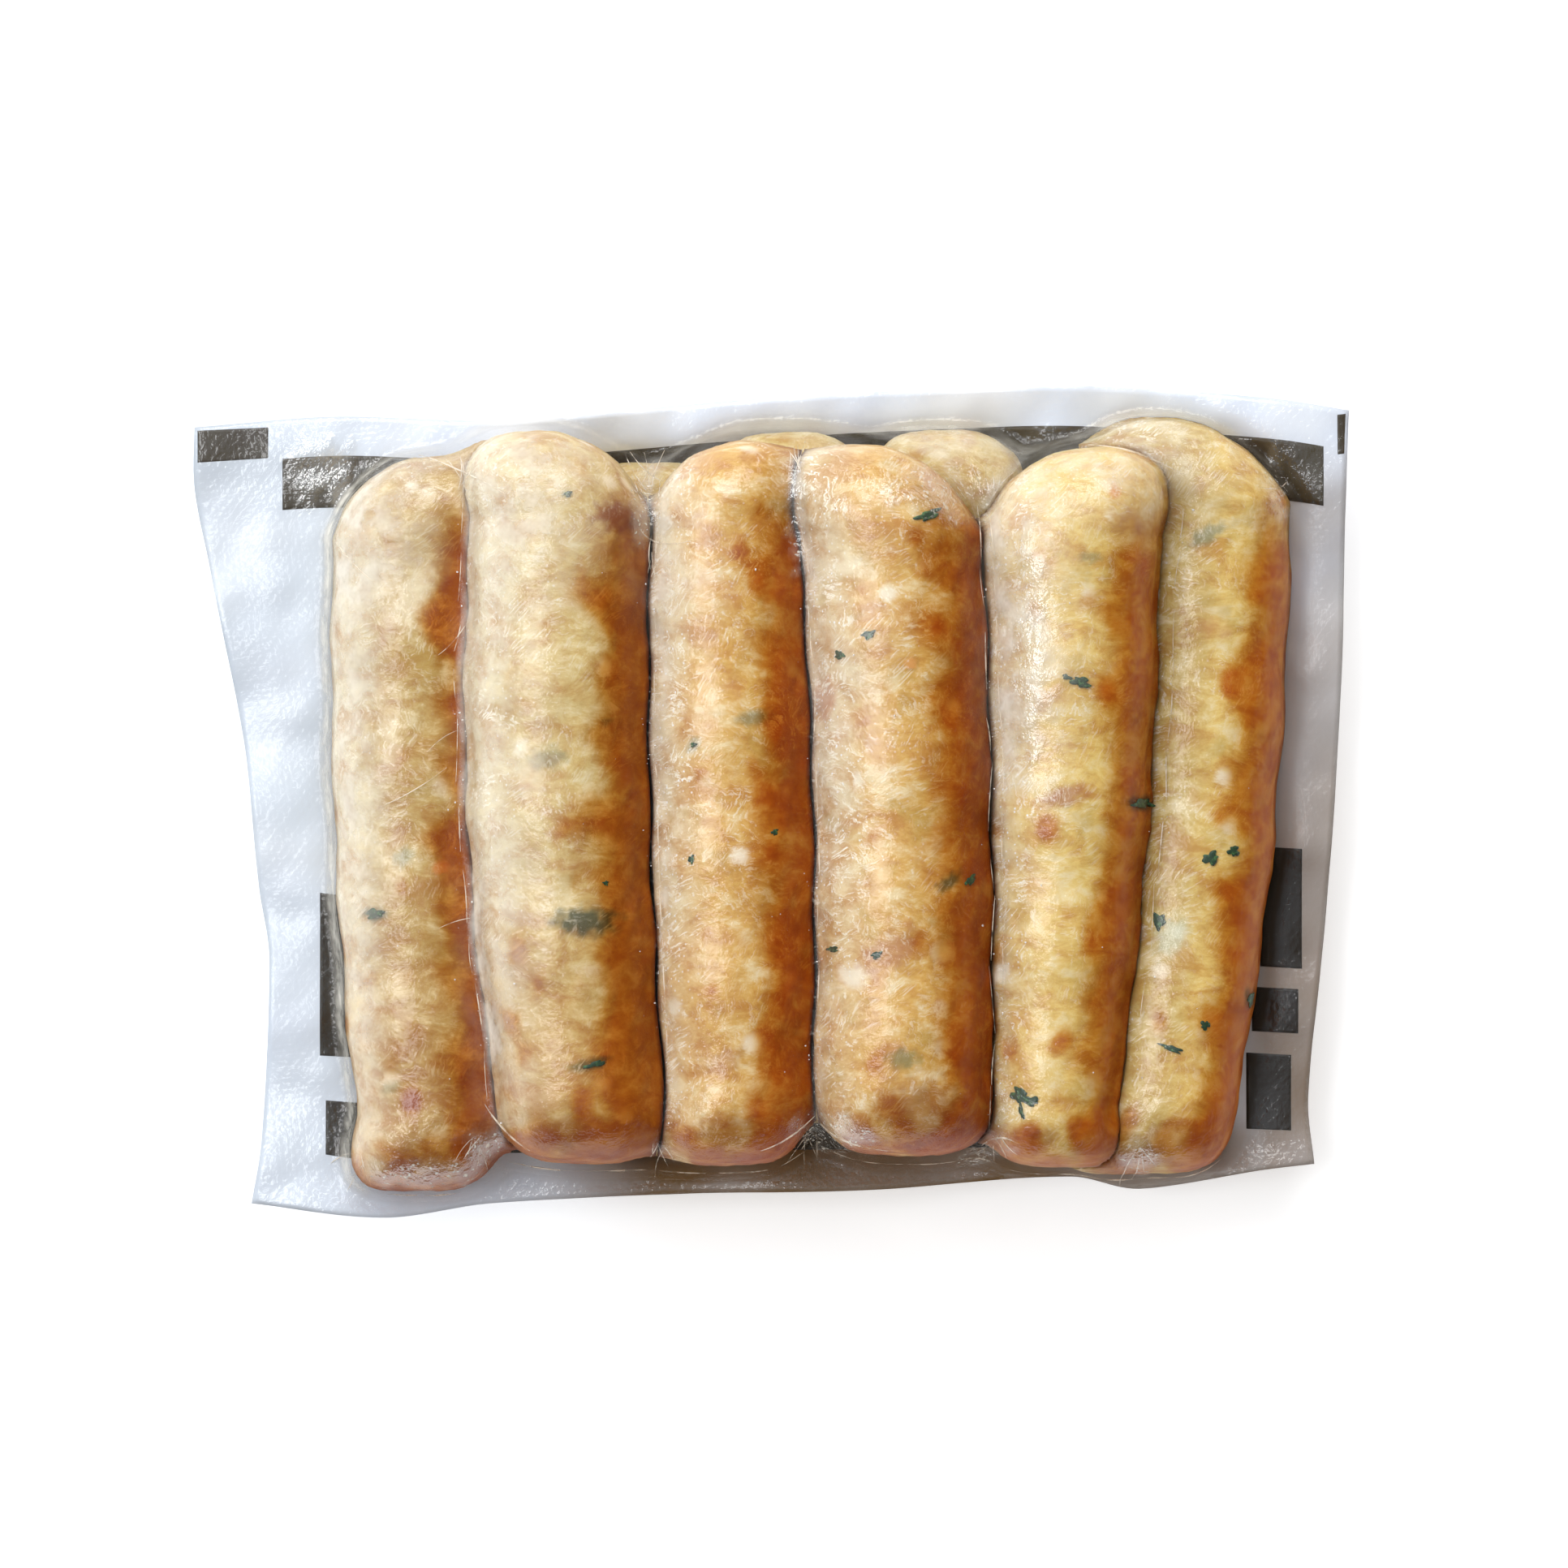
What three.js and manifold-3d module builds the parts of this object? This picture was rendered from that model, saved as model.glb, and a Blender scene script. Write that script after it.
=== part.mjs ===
// A vacuum pack of raw sausages, lying on its printed side.
// Six sausages show through a clear front film, and the ends of three more show under them.
// The front film is drawn tight over the sausages and sealed all round to a white back film.
// Millimetres, +X to the right of the pack, +Y towards its header edge, +Z up, out of its clear side.
// The origin is under the middle of the pack, on the surface that it lies on.

import * as THREE from "three";
import Module from "manifold-3d";

// Film and seal
const BACK_FILM = 0.8; // thickness of the back film, square to its surface
const SEAL_FILM = 0.9; // thickness of the clear film where it is sealed to the back film
const SEAL_GAP = 0.3; // clearance between the two films
const SEAL_LEVEL = 13; // height of the seal above the resting surface
const SEAL_TILT = -0.026; // the seal is lower on the right, where the sausages lie lower
const SEAL_WAVE = 1.6; // how far the free edge of the seal curls up and down
const WRINKLE_LENGTH = 41; // distance from one curl of the edge to the next
const FREE_SIDES = 12; // the curl grows over this distance to a side edge
const FREE_ENDS = 9; // and over this distance to the header or tail edge
const CALM = 0.25; // share of the curl that is left inside those distances

// How the films follow the sausages
const FRONT_BRIDGE = 5; // the clear film bridges a valley about a quarter of this wide
const FRONT_DRAFT = 0.1; // outward lean of the clear film below a sausage's widest line
const BACK_BRIDGE = 9; // the back film bridges the valleys under the pack more widely
const BACK_DRAFT = 0.55; // and leans outwards further, up to the seal
const HEADER_BLUNTNESS = 2.35; // 2 is a round end, and more is a squarer one
const TAIL_BLUNTNESS = 3.3;
const LOWER_BLUNTNESS = 2.9; // of the lower sausages' header ends
const TALLEST = 70; // above everything
const LUMP = 0.28; // height of the soft lumps along a sausage
const LUMP_LENGTH = 23; // distance from one lump to the next
const LUMP_SHIFT = 2.1; // how far the lumps are shifted from one sausage to the next, in radians

// A sausage's middle line and radius at its header end, middle and tail end: [header, middle, tail].
// ends are the furthest points along Y, and lean is how far each end's tip sits to the right.
const UPPER = [
  { x: [-62.6, -62.4, -59.7], z: [27.0, 26.5, 28.0], r: [14.2, 14.3, 13.5], ends: [60.2, -67.9], lean: [4, -3] },
  { x: [-36.7, -36.9, -33.2], z: [38.0, 37.8, 37.0], r: [15.2, 15.6, 14.3], ends: [64.0, -62.0], lean: [-5, 1] },
  { x: [-8.3, -7.0, -6.0], z: [36.2, 36.2, 35.8], r: [13.2, 14.4, 13.1], ends: [62.3, -62.6], lean: [4, -2] },
  { x: [20.4, 22.5, 22.5], z: [38.0, 38.2, 37.6], r: [15.5, 15.0, 15.1], ends: [62.4, -61.7], lean: [-6, 1] },
  { x: [51.9, 51.4, 48.9], z: [33.4, 33.0, 32.4], r: [15.4, 13.9, 11.3], ends: [61.8, -63.0], lean: [5, 1] },
  { x: [76.3, 74.2, 69.2], z: [15.8, 19.0, 24.0], r: [14.9, 14.4, 12.8], ends: [67.5, -64.4], lean: [-8.5, -2] },
];
const LOWER = [
  { x: [-21.4, -21.4, -19.5], z: [12.6, 12.5, 12.5], r: [13.4, 13.5, 13.3], ends: [59.8, -62.5], lean: [0, 0] },
  { x: [5.0, 5.6, 7.0], z: [12.6, 12.5, 12.5], r: [13.4, 13.5, 13.3], ends: [65.3, -56.5], lean: [-2, 0] },
  { x: [31.6, 32.4, 33.6], z: [12.8, 12.5, 12.5], r: [13.6, 13.5, 13.3], ends: [66.0, -58.5], lean: [-1, 0] },
];
const STATIONS = [47, -2, -50]; // where along Y the three values above are taken

// The cut edge of the films, as [along, across] points of each side
const EDGE_HEADER = [
  [-101.6, 65.8], [-76.8, 67.7], [-51.3, 67.1], [-29.9, 68.5], [0, 71.1],
  [40, 73.1], [60.6, 73], [88.1, 71], [101.6, 69],
];
const EDGE_TAIL = [
  [-91.5, -70.6], [-68.1, -73.1], [-49.6, -70.7], [-15.5, -69], [18.5, -68.3],
  [52.6, -66], [64.5, -68.2], [86.7, -64.8], [95.4, -63.8],
];
const EDGE_LEFT = [
  [-70.6, -91.5], [-59.9, -89.8], [-28, -88.4], [-15.2, -90.2], [10.4, -92.9],
  [42.3, -99.2], [55.1, -101.6], [65.8, -101.6],
];
const EDGE_RIGHT = [[-63.8, 95.4], [-52.1, 94.4], [-20.2, 97.5], [18.2, 100.1], [56.5, 101.1], [69, 101.6]];

const clamp = THREE.MathUtils.clamp;
const lerp = THREE.MathUtils.lerp;

// A smooth curve through knots [t, value] with rising t, straight on past its ends.
function curveThrough(knots) {
  const slope = (i) => {
    const [t0, v0] = knots[Math.max(i - 1, 0)];
    const [t1, v1] = knots[Math.min(i + 1, knots.length - 1)];
    return (v1 - v0) / (t1 - t0);
  };
  return (t) => {
    const last = knots.length - 1;
    if (t <= knots[0][0]) return knots[0][1] + slope(0) * (t - knots[0][0]);
    if (t >= knots[last][0]) return knots[last][1] + slope(last) * (t - knots[last][0]);
    const i = knots.findIndex(([knot]) => knot > t) - 1;
    const [t0, v0] = knots[i];
    const [t1, v1] = knots[i + 1];
    const span = t1 - t0;
    const s = (t - t0) / span;
    const rise = s * s * (3 - 2 * s);
    return lerp(v0, v1, rise) + span * s * (1 - s) * ((1 - s) * slope(i) - s * slope(i + 1));
  };
}

// A parabola through a sausage's three stations.
function alongSausage([header, middle, tail]) {
  const [a, b, c] = STATIONS;
  return (y) =>
    (header * (y - b) * (y - c)) / ((a - b) * (a - c)) +
    (middle * (y - a) * (y - c)) / ((b - a) * (b - c)) +
    (tail * (y - a) * (y - b)) / ((c - a) * (c - b));
}

const edgeHeader = curveThrough(EDGE_HEADER);
const edgeTail = curveThrough(EDGE_TAIL);
const edgeLeft = curveThrough(EDGE_LEFT);
const edgeRight = curveThrough(EDGE_RIGHT);

const shape = (s, index) => ({
  middle: alongSausage(s.x),
  level: alongSausage(s.z),
  radius: alongSausage(s.r),
  header: s.ends[0],
  tail: s.ends[1],
  lean: s.lean,
  phase: index * LUMP_SHIFT,
  headerBluntness: index < UPPER.length ? HEADER_BLUNTNESS : LOWER_BLUNTNESS,
});
const upper = UPPER.map(shape);
const sausages = [...upper, ...LOWER.map((s, i) => shape(s, i + UPPER.length))];

// Where a point of the plan lies against a sausage: how far from its middle line, its radius and height there.
function under(s, x, y) {
  const y0 = clamp(y, s.tail + s.radius(s.tail), s.header - s.radius(s.header));
  const radius = s.radius(y0) + LUMP * Math.sin((2 * Math.PI * y0) / LUMP_LENGTH + s.phase);
  const lean = y > y0 ? s.lean[0] : s.lean[1];
  const across = Math.abs(x - s.middle(y0) - (lean * Math.abs(y - y0)) / radius);
  const past = Math.abs(y - y0);
  const bluntness = y > y0 ? s.headerBluntness : TAIL_BLUNTNESS;
  const away = (across ** bluntness + past ** bluntness) ** (1 / bluntness);
  return { away, radius, level: s.level(y0) };
}

// The union of two distances, rounded where they meet.
function join(a, b, width) {
  const near = Math.max(width - Math.abs(a - b), 0) / width;
  return Math.min(a, b) - (near * near * width) / 4;
}

// The height of the seal, which curls more towards its free edge.
function sealLevel(x, y) {
  const fromSide = Math.min(x - edgeLeft(y), edgeRight(y) - x) / FREE_SIDES;
  const fromEnd = Math.min(edgeHeader(x) - y, y - edgeTail(x)) / FREE_ENDS;
  const free = 1 - clamp(Math.min(fromSide, fromEnd), 0, 1);
  const turn = (2 * Math.PI) / WRINKLE_LENGTH;
  // One curl runs across the pack, and a shorter one runs along it at a slant.
  const curl = 0.6 * Math.sin(x * turn + 0.6) + 0.7 * Math.sin((y + 0.35 * x) * turn * 1.3 + 2.2);
  return SEAL_LEVEL + SEAL_TILT * x + SEAL_WAVE * curl * lerp(CALM, 1, free);
}

const HALVINGS = 40; // far past a thousandth of a millimetre

// The height at which a film over (side 1) or under (side -1) the sausages lies, found by halving.
function filmHeight(x, y, side, bridge, draft) {
  const seal = sealLevel(x, y);
  const spots = sausages.map((s) => under(s, x, y));
  const outside = (z) =>
    spots.reduce((nearest, { away, radius, level }) => {
      const beyond = side * (z - level);
      const gap = Math.hypot(away, Math.max(beyond, 0)) - radius - draft * Math.max(-beyond, 0);
      return join(nearest, gap, bridge);
    }, side * (z - seal));
  let inner = seal - side;
  let outer = side > 0 ? TALLEST : -TALLEST;
  for (let i = 0; i < HALVINGS; i++) {
    const z = (inner + outer) / 2;
    if (outside(z) > 0) outer = z;
    else inner = z;
  }
  return outer;
}

const frontSurface = (x, y) => filmHeight(x, y, 1, FRONT_BRIDGE, FRONT_DRAFT);
// The back film is flattened where it rests.
const backSurface = (x, y) => Math.max(filmHeight(x, y, -1, BACK_BRIDGE, BACK_DRAFT), 0);

const SLOPE_STEP = 0.5; // how far to each side a slope is measured
const STEEPEST = 2.6; // a thickness square to the surface counts at most this many times upwards

// A surface raised by a thickness measured square to it.
function raised(surface, thickness) {
  const slope = (after, before) => (after - before) / (2 * SLOPE_STEP);
  return (x, y) => {
    const slopeX = slope(surface(x + SLOPE_STEP, y), surface(x - SLOPE_STEP, y));
    const slopeY = slope(surface(x, y + SLOPE_STEP), surface(x, y - SLOPE_STEP));
    return surface(x, y) + thickness * Math.min(Math.hypot(1, slopeX, slopeY), STEEPEST);
  };
}

const VALLEY_REACH = 48; // the valleys run straight on past this, where the ends round off
const VALLEY_STEP = 12; // distance between the places where a valley is found
const SEARCHES = 24; // rounds of a search that keeps two thirds each time

// The line along which the front film lies lowest between a sausage and the one to its right.
function valley(left, right) {
  const lowest = (y) => {
    let from = left.middle(y);
    let to = right.middle(y);
    for (let i = 0; i < SEARCHES; i++) {
      const [a, b] = [lerp(from, to, 1 / 3), lerp(from, to, 2 / 3)];
      if (frontSurface(a, y) < frontSurface(b, y)) to = b;
      else from = a;
    }
    return (from + to) / 2;
  };
  const stations = [];
  for (let y = -VALLEY_REACH; y <= VALLEY_REACH; y += VALLEY_STEP) stations.push([y, lowest(y)]);
  return curveThrough(stations);
}

// The lines between neighbouring sausages, and the outer sides of the first and last.
const valleys = [
  (y) => upper[0].middle(y) - upper[0].radius(y),
  ...upper.slice(1).map((right, i) => valley(upper[i], right)),
  (y) => upper.at(-1).middle(y) + upper.at(-1).radius(y),
];

// The film's rows near an end of the pack follow its contours, at these shares of its height.
const END_CONTOURS = [0.05, 0.22, 0.5, 0.8, 0.96];
const WELL_INSIDE = 42; // the ends' slopes all lie further from the middle than this
const SIDE_STEPS = [3.4, 1.6, 0]; // how far past the outer sausages' widest line columns follow it
const SIDE_SHARES = [1, 0.75, 0.5, 0.25]; // columns between there and the cut edge
const END_SHARES = [0.45, 1]; // rows between the ends' foot and the cut edge
const CONTOUR_HALVINGS = 16;
const EDGE_ROUNDS = 6; // rounds in which a place on two slanting lines settles
const EDGE_ROOM = 0.5; // contours keep this far from each other where they would reach the cut edge
const FOOT_ROOMS = 3; // and the lowest one keeps this many times as far from the edge

// How far along Y a column's film has fallen to a share of its height inside, found by halving.
function contour(acrossAt, end, share) {
  const rise = (y) => frontSurface(acrossAt(y), y) - sealLevel(acrossAt(y), y);
  let near = end * WELL_INSIDE;
  let far = end > 0 ? edgeHeader(acrossAt(near)) : edgeTail(acrossAt(near));
  const wanted = share * rise(near);
  for (let i = 0; i < CONTOUR_HALVINGS; i++) {
    const y = (near + far) / 2;
    if (rise(y) > wanted) near = y;
    else far = y;
  }
  return near;
}

// The columns of the front's grid from left to right, closer together beside each valley. Each gives
// where it lies across the pack at a given y, and the y of its contours at both ends.
function frontColumns(perSausage) {
  const last = upper.length;
  const columns = [];
  const add = (guide, acrossAt) => {
    const [tail, header] = [-1, 1].map((end) => END_CONTOURS.map((share) => contour(guide, end, share)));
    columns.push({ acrossAt, tail, header });
  };
  const beside = (outer, edge, side) => {
    const past = (step) => (y) => outer(y) + side * step;
    const steps = SIDE_STEPS.map((step) => () => add(outer, past(step)));
    const shares = SIDE_SHARES.map((share) => () =>
      add(outer, (y) => lerp(past(SIDE_STEPS[0])(y), edge(y), share)),
    );
    return [...shares, ...steps];
  };
  beside(valleys[0], edgeLeft, -1).forEach((make) => make());
  for (let i = 1; i < last * perSausage; i++) {
    const s = Math.floor(i / perSausage);
    const part = (1 - Math.cos((Math.PI * (i % perSausage)) / perSausage)) / 2;
    const side = (y) => lerp(valleys[s](y), valleys[s + 1](y), part);
    add(side, side);
  }
  beside(valleys[last], edgeRight, 1)
    .reverse()
    .forEach((make) => make());
  return columns;
}

// Rows that jump from one column to the next are evened out.
function evened(columns, end) {
  const mean = (values, i) => {
    const [left, right] = [values[Math.max(i - 1, 0)], values[Math.min(i + 1, values.length - 1)]];
    return (left + 2 * values[i] + right) / 4;
  };
  END_CONTOURS.forEach((_, row) => {
    const before = columns.map((column) => column[end][row]);
    columns.forEach((column, i) => {
      column[end][row] = mean(before, i);
    });
  });
}

function frontGrid(perSausage, alongCount) {
  const columns = frontColumns(perSausage);
  for (const end of ["tail", "header", "tail", "header"]) evened(columns, end);
  return columns.map(({ acrossAt, tail, header }) => {
    const margin = (foot, edge, share) => {
      let y = foot;
      for (let i = 0; i < EDGE_ROUNDS; i++) y = lerp(foot, edge(acrossAt(y)), share);
      return y;
    };
    const kept = (contours, edge, end) =>
      contours.map((y, i) => {
        const inward = edge(acrossAt(y)) * end - EDGE_ROOM * (FOOT_ROOMS + i);
        return end * Math.min(y * end, inward);
      });
    const low = kept(tail, edgeTail, -1);
    const high = kept(header, edgeHeader, 1);
    const inside = Array.from({ length: alongCount - 1 }, (_, j) =>
      lerp(low.at(-1), high.at(-1), (j + 1) / alongCount),
    );
    const rows = [
      ...[...END_SHARES].reverse().map((share) => margin(low[0], edgeTail, share)),
      ...low,
      ...inside,
      ...[...high].reverse(),
      ...END_SHARES.map((share) => margin(high[0], edgeHeader, share)),
    ];
    return rows.map((y) => [acrossAt(y), y]);
  });
}

// The back's grid, spread evenly between the cut edges, or a little past them.
function backGrid(acrossCount, alongCount, past) {
  const shares = (count) => {
    const even = Array.from({ length: count + 1 }, (_, i) => i / count);
    return past > 0 ? [-past, ...even, 1 + past] : even;
  };
  return shares(acrossCount).map((u) =>
    shares(alongCount).map((v) => {
      let x = 0;
      let y = 0;
      for (let i = 0; i < EDGE_ROUNDS; i++) {
        y = lerp(edgeTail(x), edgeHeader(x), v);
        x = lerp(edgeLeft(y), edgeRight(y), u);
      }
      return [x, y];
    }),
  );
}

// A closed solid between two surfaces over the same grid. Both faces are split into triangles alike.
function slab(grid, topSurface, bottomSurface) {
  const points = grid.flat();
  const positions = [topSurface, bottomSurface].flatMap((surface) =>
    points.flatMap(([x, y]) => [x, y, surface(x, y)]),
  );
  const across = grid.length;
  const along = grid[0].length;
  const at = (c, r, layer) => layer * across * along + c * along + r;
  const triangles = [];
  for (let c = 0; c + 1 < across; c++)
    for (let r = 0; r + 1 < along; r++) {
      const corners = [[c, r], [c + 1, r], [c + 1, r + 1], [c, r + 1]];
      const [a, b, d, e] = corners.map(([i, j]) => at(i, j, 0));
      const [f, g, h, k] = corners.map(([i, j]) => at(i, j, 1));
      triangles.push(a, b, d, a, d, e);
      triangles.push(f, h, g, f, k, h);
    }
  const rim = [];
  for (let c = 0; c < across - 1; c++) rim.push([c, 0]);
  for (let r = 0; r < along - 1; r++) rim.push([across - 1, r]);
  for (let c = across - 1; c > 0; c--) rim.push([c, along - 1]);
  for (let r = along - 1; r > 0; r--) rim.push([0, r]);
  rim.forEach(([c, r], i) => {
    const [c2, r2] = rim[(i + 1) % rim.length];
    const [top, next] = [at(c, r, 0), at(c2, r2, 0)];
    const [low, nextLow] = [at(c, r, 1), at(c2, r2, 1)];
    triangles.push(low, nextLow, next, low, next, top);
  });
  const geometry = new THREE.BufferGeometry();
  geometry.setAttribute("position", new THREE.Float32BufferAttribute(positions, 3));
  geometry.setIndex(triangles);
  return geometry;
}

const wasm = await Module();
wasm.setup();

const toSolid = (geometry) =>
  new wasm.Manifold(
    new wasm.Mesh({
      numProp: 3,
      vertProperties: new Float32Array(geometry.attributes.position.array),
      triVerts: new Uint32Array(geometry.index.array),
    }),
  );

function toGeometry(solid) {
  const mesh = solid.getMesh();
  const geometry = new THREE.BufferGeometry();
  geometry.setAttribute("position", new THREE.Float32BufferAttribute(mesh.vertProperties, 3));
  geometry.setIndex([...mesh.triVerts]);
  return geometry.toNonIndexed();
}

const FLOOR = -6; // below everything, for the blank that the front is cut from
const FRONT_LINES = [8, 26]; // columns a sausage, and rows between the ends
const BACK_LINES = [34, 24];
const PAST_EDGE = 0.01; // how far the cutting bed runs past the cut edge, as a share of the pack

// The back film: one thin sheet, bulged down round the lower sausages and flat where it rests.
function backFilm() {
  return slab(backGrid(...BACK_LINES, 0), raised(backSurface, BACK_FILM), backSurface).toNonIndexed();
}

// The clear film and all that it holds: a blank under the front surface, hollowed to sit on the back film.
function filledFront() {
  const thinnest = raised(backSurface, BACK_FILM + SEAL_GAP + SEAL_FILM);
  const top = (x, y) => Math.max(frontSurface(x, y), thinnest(x, y));
  const blank = slab(frontGrid(...FRONT_LINES), top, () => FLOOR);
  const underside = raised(backSurface, BACK_FILM + SEAL_GAP);
  const bed = slab(backGrid(...BACK_LINES, PAST_EDGE), underside, () => 2 * FLOOR);
  return toGeometry(toSolid(blank).subtract(toSolid(bed)));
}

function piece(name, geometry, material) {
  const mesh = new THREE.Mesh(geometry, new THREE.MeshStandardMaterial(material));
  mesh.geometry.computeVertexNormals();
  mesh.name = name;
  return mesh;
}

const pack = new THREE.Group();
pack.name = "sausage_pack";
pack.add(
  piece("back_film", backFilm(), { color: "#e9edf1", roughness: 0.35, metalness: 0 }),
  piece("filled_front_film", filledFront(), { color: "#d8b483", roughness: 0.3, metalness: 0 }),
);

export default pack;
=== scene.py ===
"""A vacuum pack of raw herb sausages, lying on its printed back film.

Six sausages lie side by side under a clear film that is drawn tight over them, and three more lie
under those, of which only the ends show. The file is laid out as an add-on, and is run as a script.
Sizes in capitals are millimetres unless a comment says otherwise. Every mesh is in metres.
"""
import math
from collections import namedtuple
from functools import partial

import bpy
import numpy as np
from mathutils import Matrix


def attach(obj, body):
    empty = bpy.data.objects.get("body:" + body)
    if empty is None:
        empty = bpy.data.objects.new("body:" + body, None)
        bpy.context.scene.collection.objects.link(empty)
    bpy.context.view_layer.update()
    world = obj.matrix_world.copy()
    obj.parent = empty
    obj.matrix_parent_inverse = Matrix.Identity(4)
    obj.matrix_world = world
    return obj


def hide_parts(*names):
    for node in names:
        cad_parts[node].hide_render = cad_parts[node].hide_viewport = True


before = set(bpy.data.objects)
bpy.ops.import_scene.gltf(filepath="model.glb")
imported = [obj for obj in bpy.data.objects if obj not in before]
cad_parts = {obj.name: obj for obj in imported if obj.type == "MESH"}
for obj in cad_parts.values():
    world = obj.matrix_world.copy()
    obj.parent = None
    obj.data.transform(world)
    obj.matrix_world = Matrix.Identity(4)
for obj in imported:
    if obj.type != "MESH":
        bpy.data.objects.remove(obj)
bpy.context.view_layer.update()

bl_info = {
    "name": "Sausage pack",
    "version": (1, 0, 0),
    "blender": (4, 5, 0),
    "location": "3D View > Sidebar > Sausage pack",
    "description": "Makes a vacuum pack of raw sausages, piece by piece",
    "category": "Add Mesh",
}

MM = 0.001
PICTURE = 1932  # pixels along a side of the square picture
MM_PER_PIXEL = 0.142
PICTURE_CENTRE = (2.06, 3.12)  # what the middle of the picture shows, in the pack's own frame


# Shape of the pack

SEAL_LEVEL = 13  # height of the seal above the surface that the pack lies on
SEAL_TILT = -0.026  # how much it falls for each step to the right
SEAL_WAVE = 1.6
WRINKLE_LENGTH = 41
CURL_REACH = (12, 9)  # how far in from the cut edge the film curls, along X and along Y
FRONT_BRIDGE = 5  # how wide the clear film rounds a valley between two sausages
FRONT_DRAFT = 0.1  # how far it leans outwards below a sausage's widest line, a share of the height
BACK_BRIDGE = 9
BACK_DRAFT = 0.55
HEADER_BLUNTNESS = 2.35  # 2 is a round end, and more is a squarer one
TAIL_BLUNTNESS = 3.3
LOWER_BLUNTNESS = 2.9  # of the lower sausages' header ends
TALLEST = 70  # a height above the whole pack
LUMP = 0.28  # how much a sausage swells and narrows along its length
LUMP_LENGTH = 23
PHASE_STEP = 2.1  # how much later each sausage's swelling starts than the last one's
STATIONS = (47, -2, -50)  # where along Y a sausage's three values are taken
FILM_HALVINGS = 26
MEAT_HALVINGS = 18
EDGE_ROUNDS = 8  # how often a place is moved back to a curved edge until it stays there

Sausage = namedtuple("Sausage", "name x z r header tail lean phase header_bluntness")

# Each sausage's x, height and radius at the three stations, how far it reaches to the header and to
# the tail, and how far its ends lean to the right
UPPER_COUNT = 6
ROWS = [
    ((-62.6, -62.4, -59.7), (27.0, 26.5, 28.0), (14.2, 14.3, 13.5), (60.2, -67.9), (4, -3)),
    ((-36.7, -36.9, -33.2), (38.0, 37.8, 37.0), (15.2, 15.6, 14.3), (64.0, -62.0), (-5, 1)),
    ((-8.3, -7.0, -6.0), (36.2, 36.2, 35.8), (13.2, 14.4, 13.1), (62.3, -62.6), (4, -2)),
    ((20.4, 22.5, 22.5), (38.0, 38.2, 37.6), (15.5, 15.0, 15.1), (62.4, -61.7), (-6, 1)),
    ((51.9, 51.4, 48.9), (33.4, 33.0, 32.4), (15.4, 13.9, 11.3), (61.8, -63.0), (5, 1)),
    ((76.3, 74.2, 69.2), (15.8, 19.0, 24.0), (14.9, 14.4, 12.8), (67.5, -64.4), (-8.5, -2)),
    ((-21.4, -21.4, -19.5), (12.6, 12.5, 12.5), (13.4, 13.5, 13.3), (59.8, -62.5), (0, 0)),
    ((5.0, 5.6, 7.0), (12.6, 12.5, 12.5), (13.4, 13.5, 13.3), (65.3, -56.5), (-2, 0)),
    ((31.6, 32.4, 33.6), (12.8, 12.5, 12.5), (13.6, 13.5, 13.3), (66.0, -58.5), (-1, 0)),
]


def sausage(index, x, z, r, ends, lean):
    """A sausage by its middle line and radius at its header end, its middle and its tail end."""
    if index < UPPER_COUNT:
        name, blunt = f"sausage_{index + 1}", HEADER_BLUNTNESS
    else:
        name, blunt = f"lower_sausage_{index - UPPER_COUNT + 1}", LOWER_BLUNTNESS
    return Sausage(name, x, z, r, ends[0], ends[1], lean, index * PHASE_STEP, blunt)


SAUSAGES = [sausage(index, *row) for index, row in enumerate(ROWS)]
UPPER = SAUSAGES[:UPPER_COUNT]

# The cut edge of the films, as (along, across) points of each side
EDGE_HEADER = (
    (-101.6, 65.8), (-76.8, 67.7), (-51.3, 67.1), (-29.9, 68.5), (0, 71.1),
    (40, 73.1), (60.6, 73), (88.1, 71), (101.6, 69),
)
EDGE_TAIL = (
    (-91.5, -70.6), (-68.1, -73.1), (-49.6, -70.7), (-15.5, -69), (18.5, -68.3),
    (52.6, -66), (64.5, -68.2), (86.7, -64.8), (95.4, -63.8),
)
EDGE_LEFT = (
    (-70.6, -91.5), (-59.9, -89.8), (-28, -88.4), (-15.2, -90.2), (10.4, -92.9),
    (42.3, -99.2), (55.1, -101.6), (65.8, -101.6),
)
EDGE_RIGHT = ((-63.8, 95.4), (-52.1, 94.4), (-20.2, 97.5), (18.2, 100.1), (56.5, 101.1), (69, 101.6))


def curve_through(knots):
    """A smooth curve through knots (t, value) with rising t, straight on past its ends."""
    t, v = np.array(knots, float).T
    slope = np.empty(len(t))
    slope[1:-1] = (v[2:] - v[:-2]) / (t[2:] - t[:-2])
    slope[0] = (v[1] - v[0]) / (t[1] - t[0])
    slope[-1] = (v[-1] - v[-2]) / (t[-1] - t[-2])

    def value(at):
        at = np.asarray(at, float)
        i = np.clip(np.searchsorted(t, at, side="right") - 1, 0, len(t) - 2)
        span = t[i + 1] - t[i]
        s = np.clip((at - t[i]) / span, 0, 1)
        rise = s * s * (3 - 2 * s)
        inside = v[i] + (v[i + 1] - v[i]) * rise
        inside += span * s * (1 - s) * ((1 - s) * slope[i] - s * slope[i + 1])
        before = np.minimum(at - t[0], 0) * slope[0]
        after = np.maximum(at - t[-1], 0) * slope[-1]
        return inside + before + after

    return value


edge_header = curve_through(EDGE_HEADER)
edge_tail = curve_through(EDGE_TAIL)
edge_left = curve_through(EDGE_LEFT)
edge_right = curve_through(EDGE_RIGHT)


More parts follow.
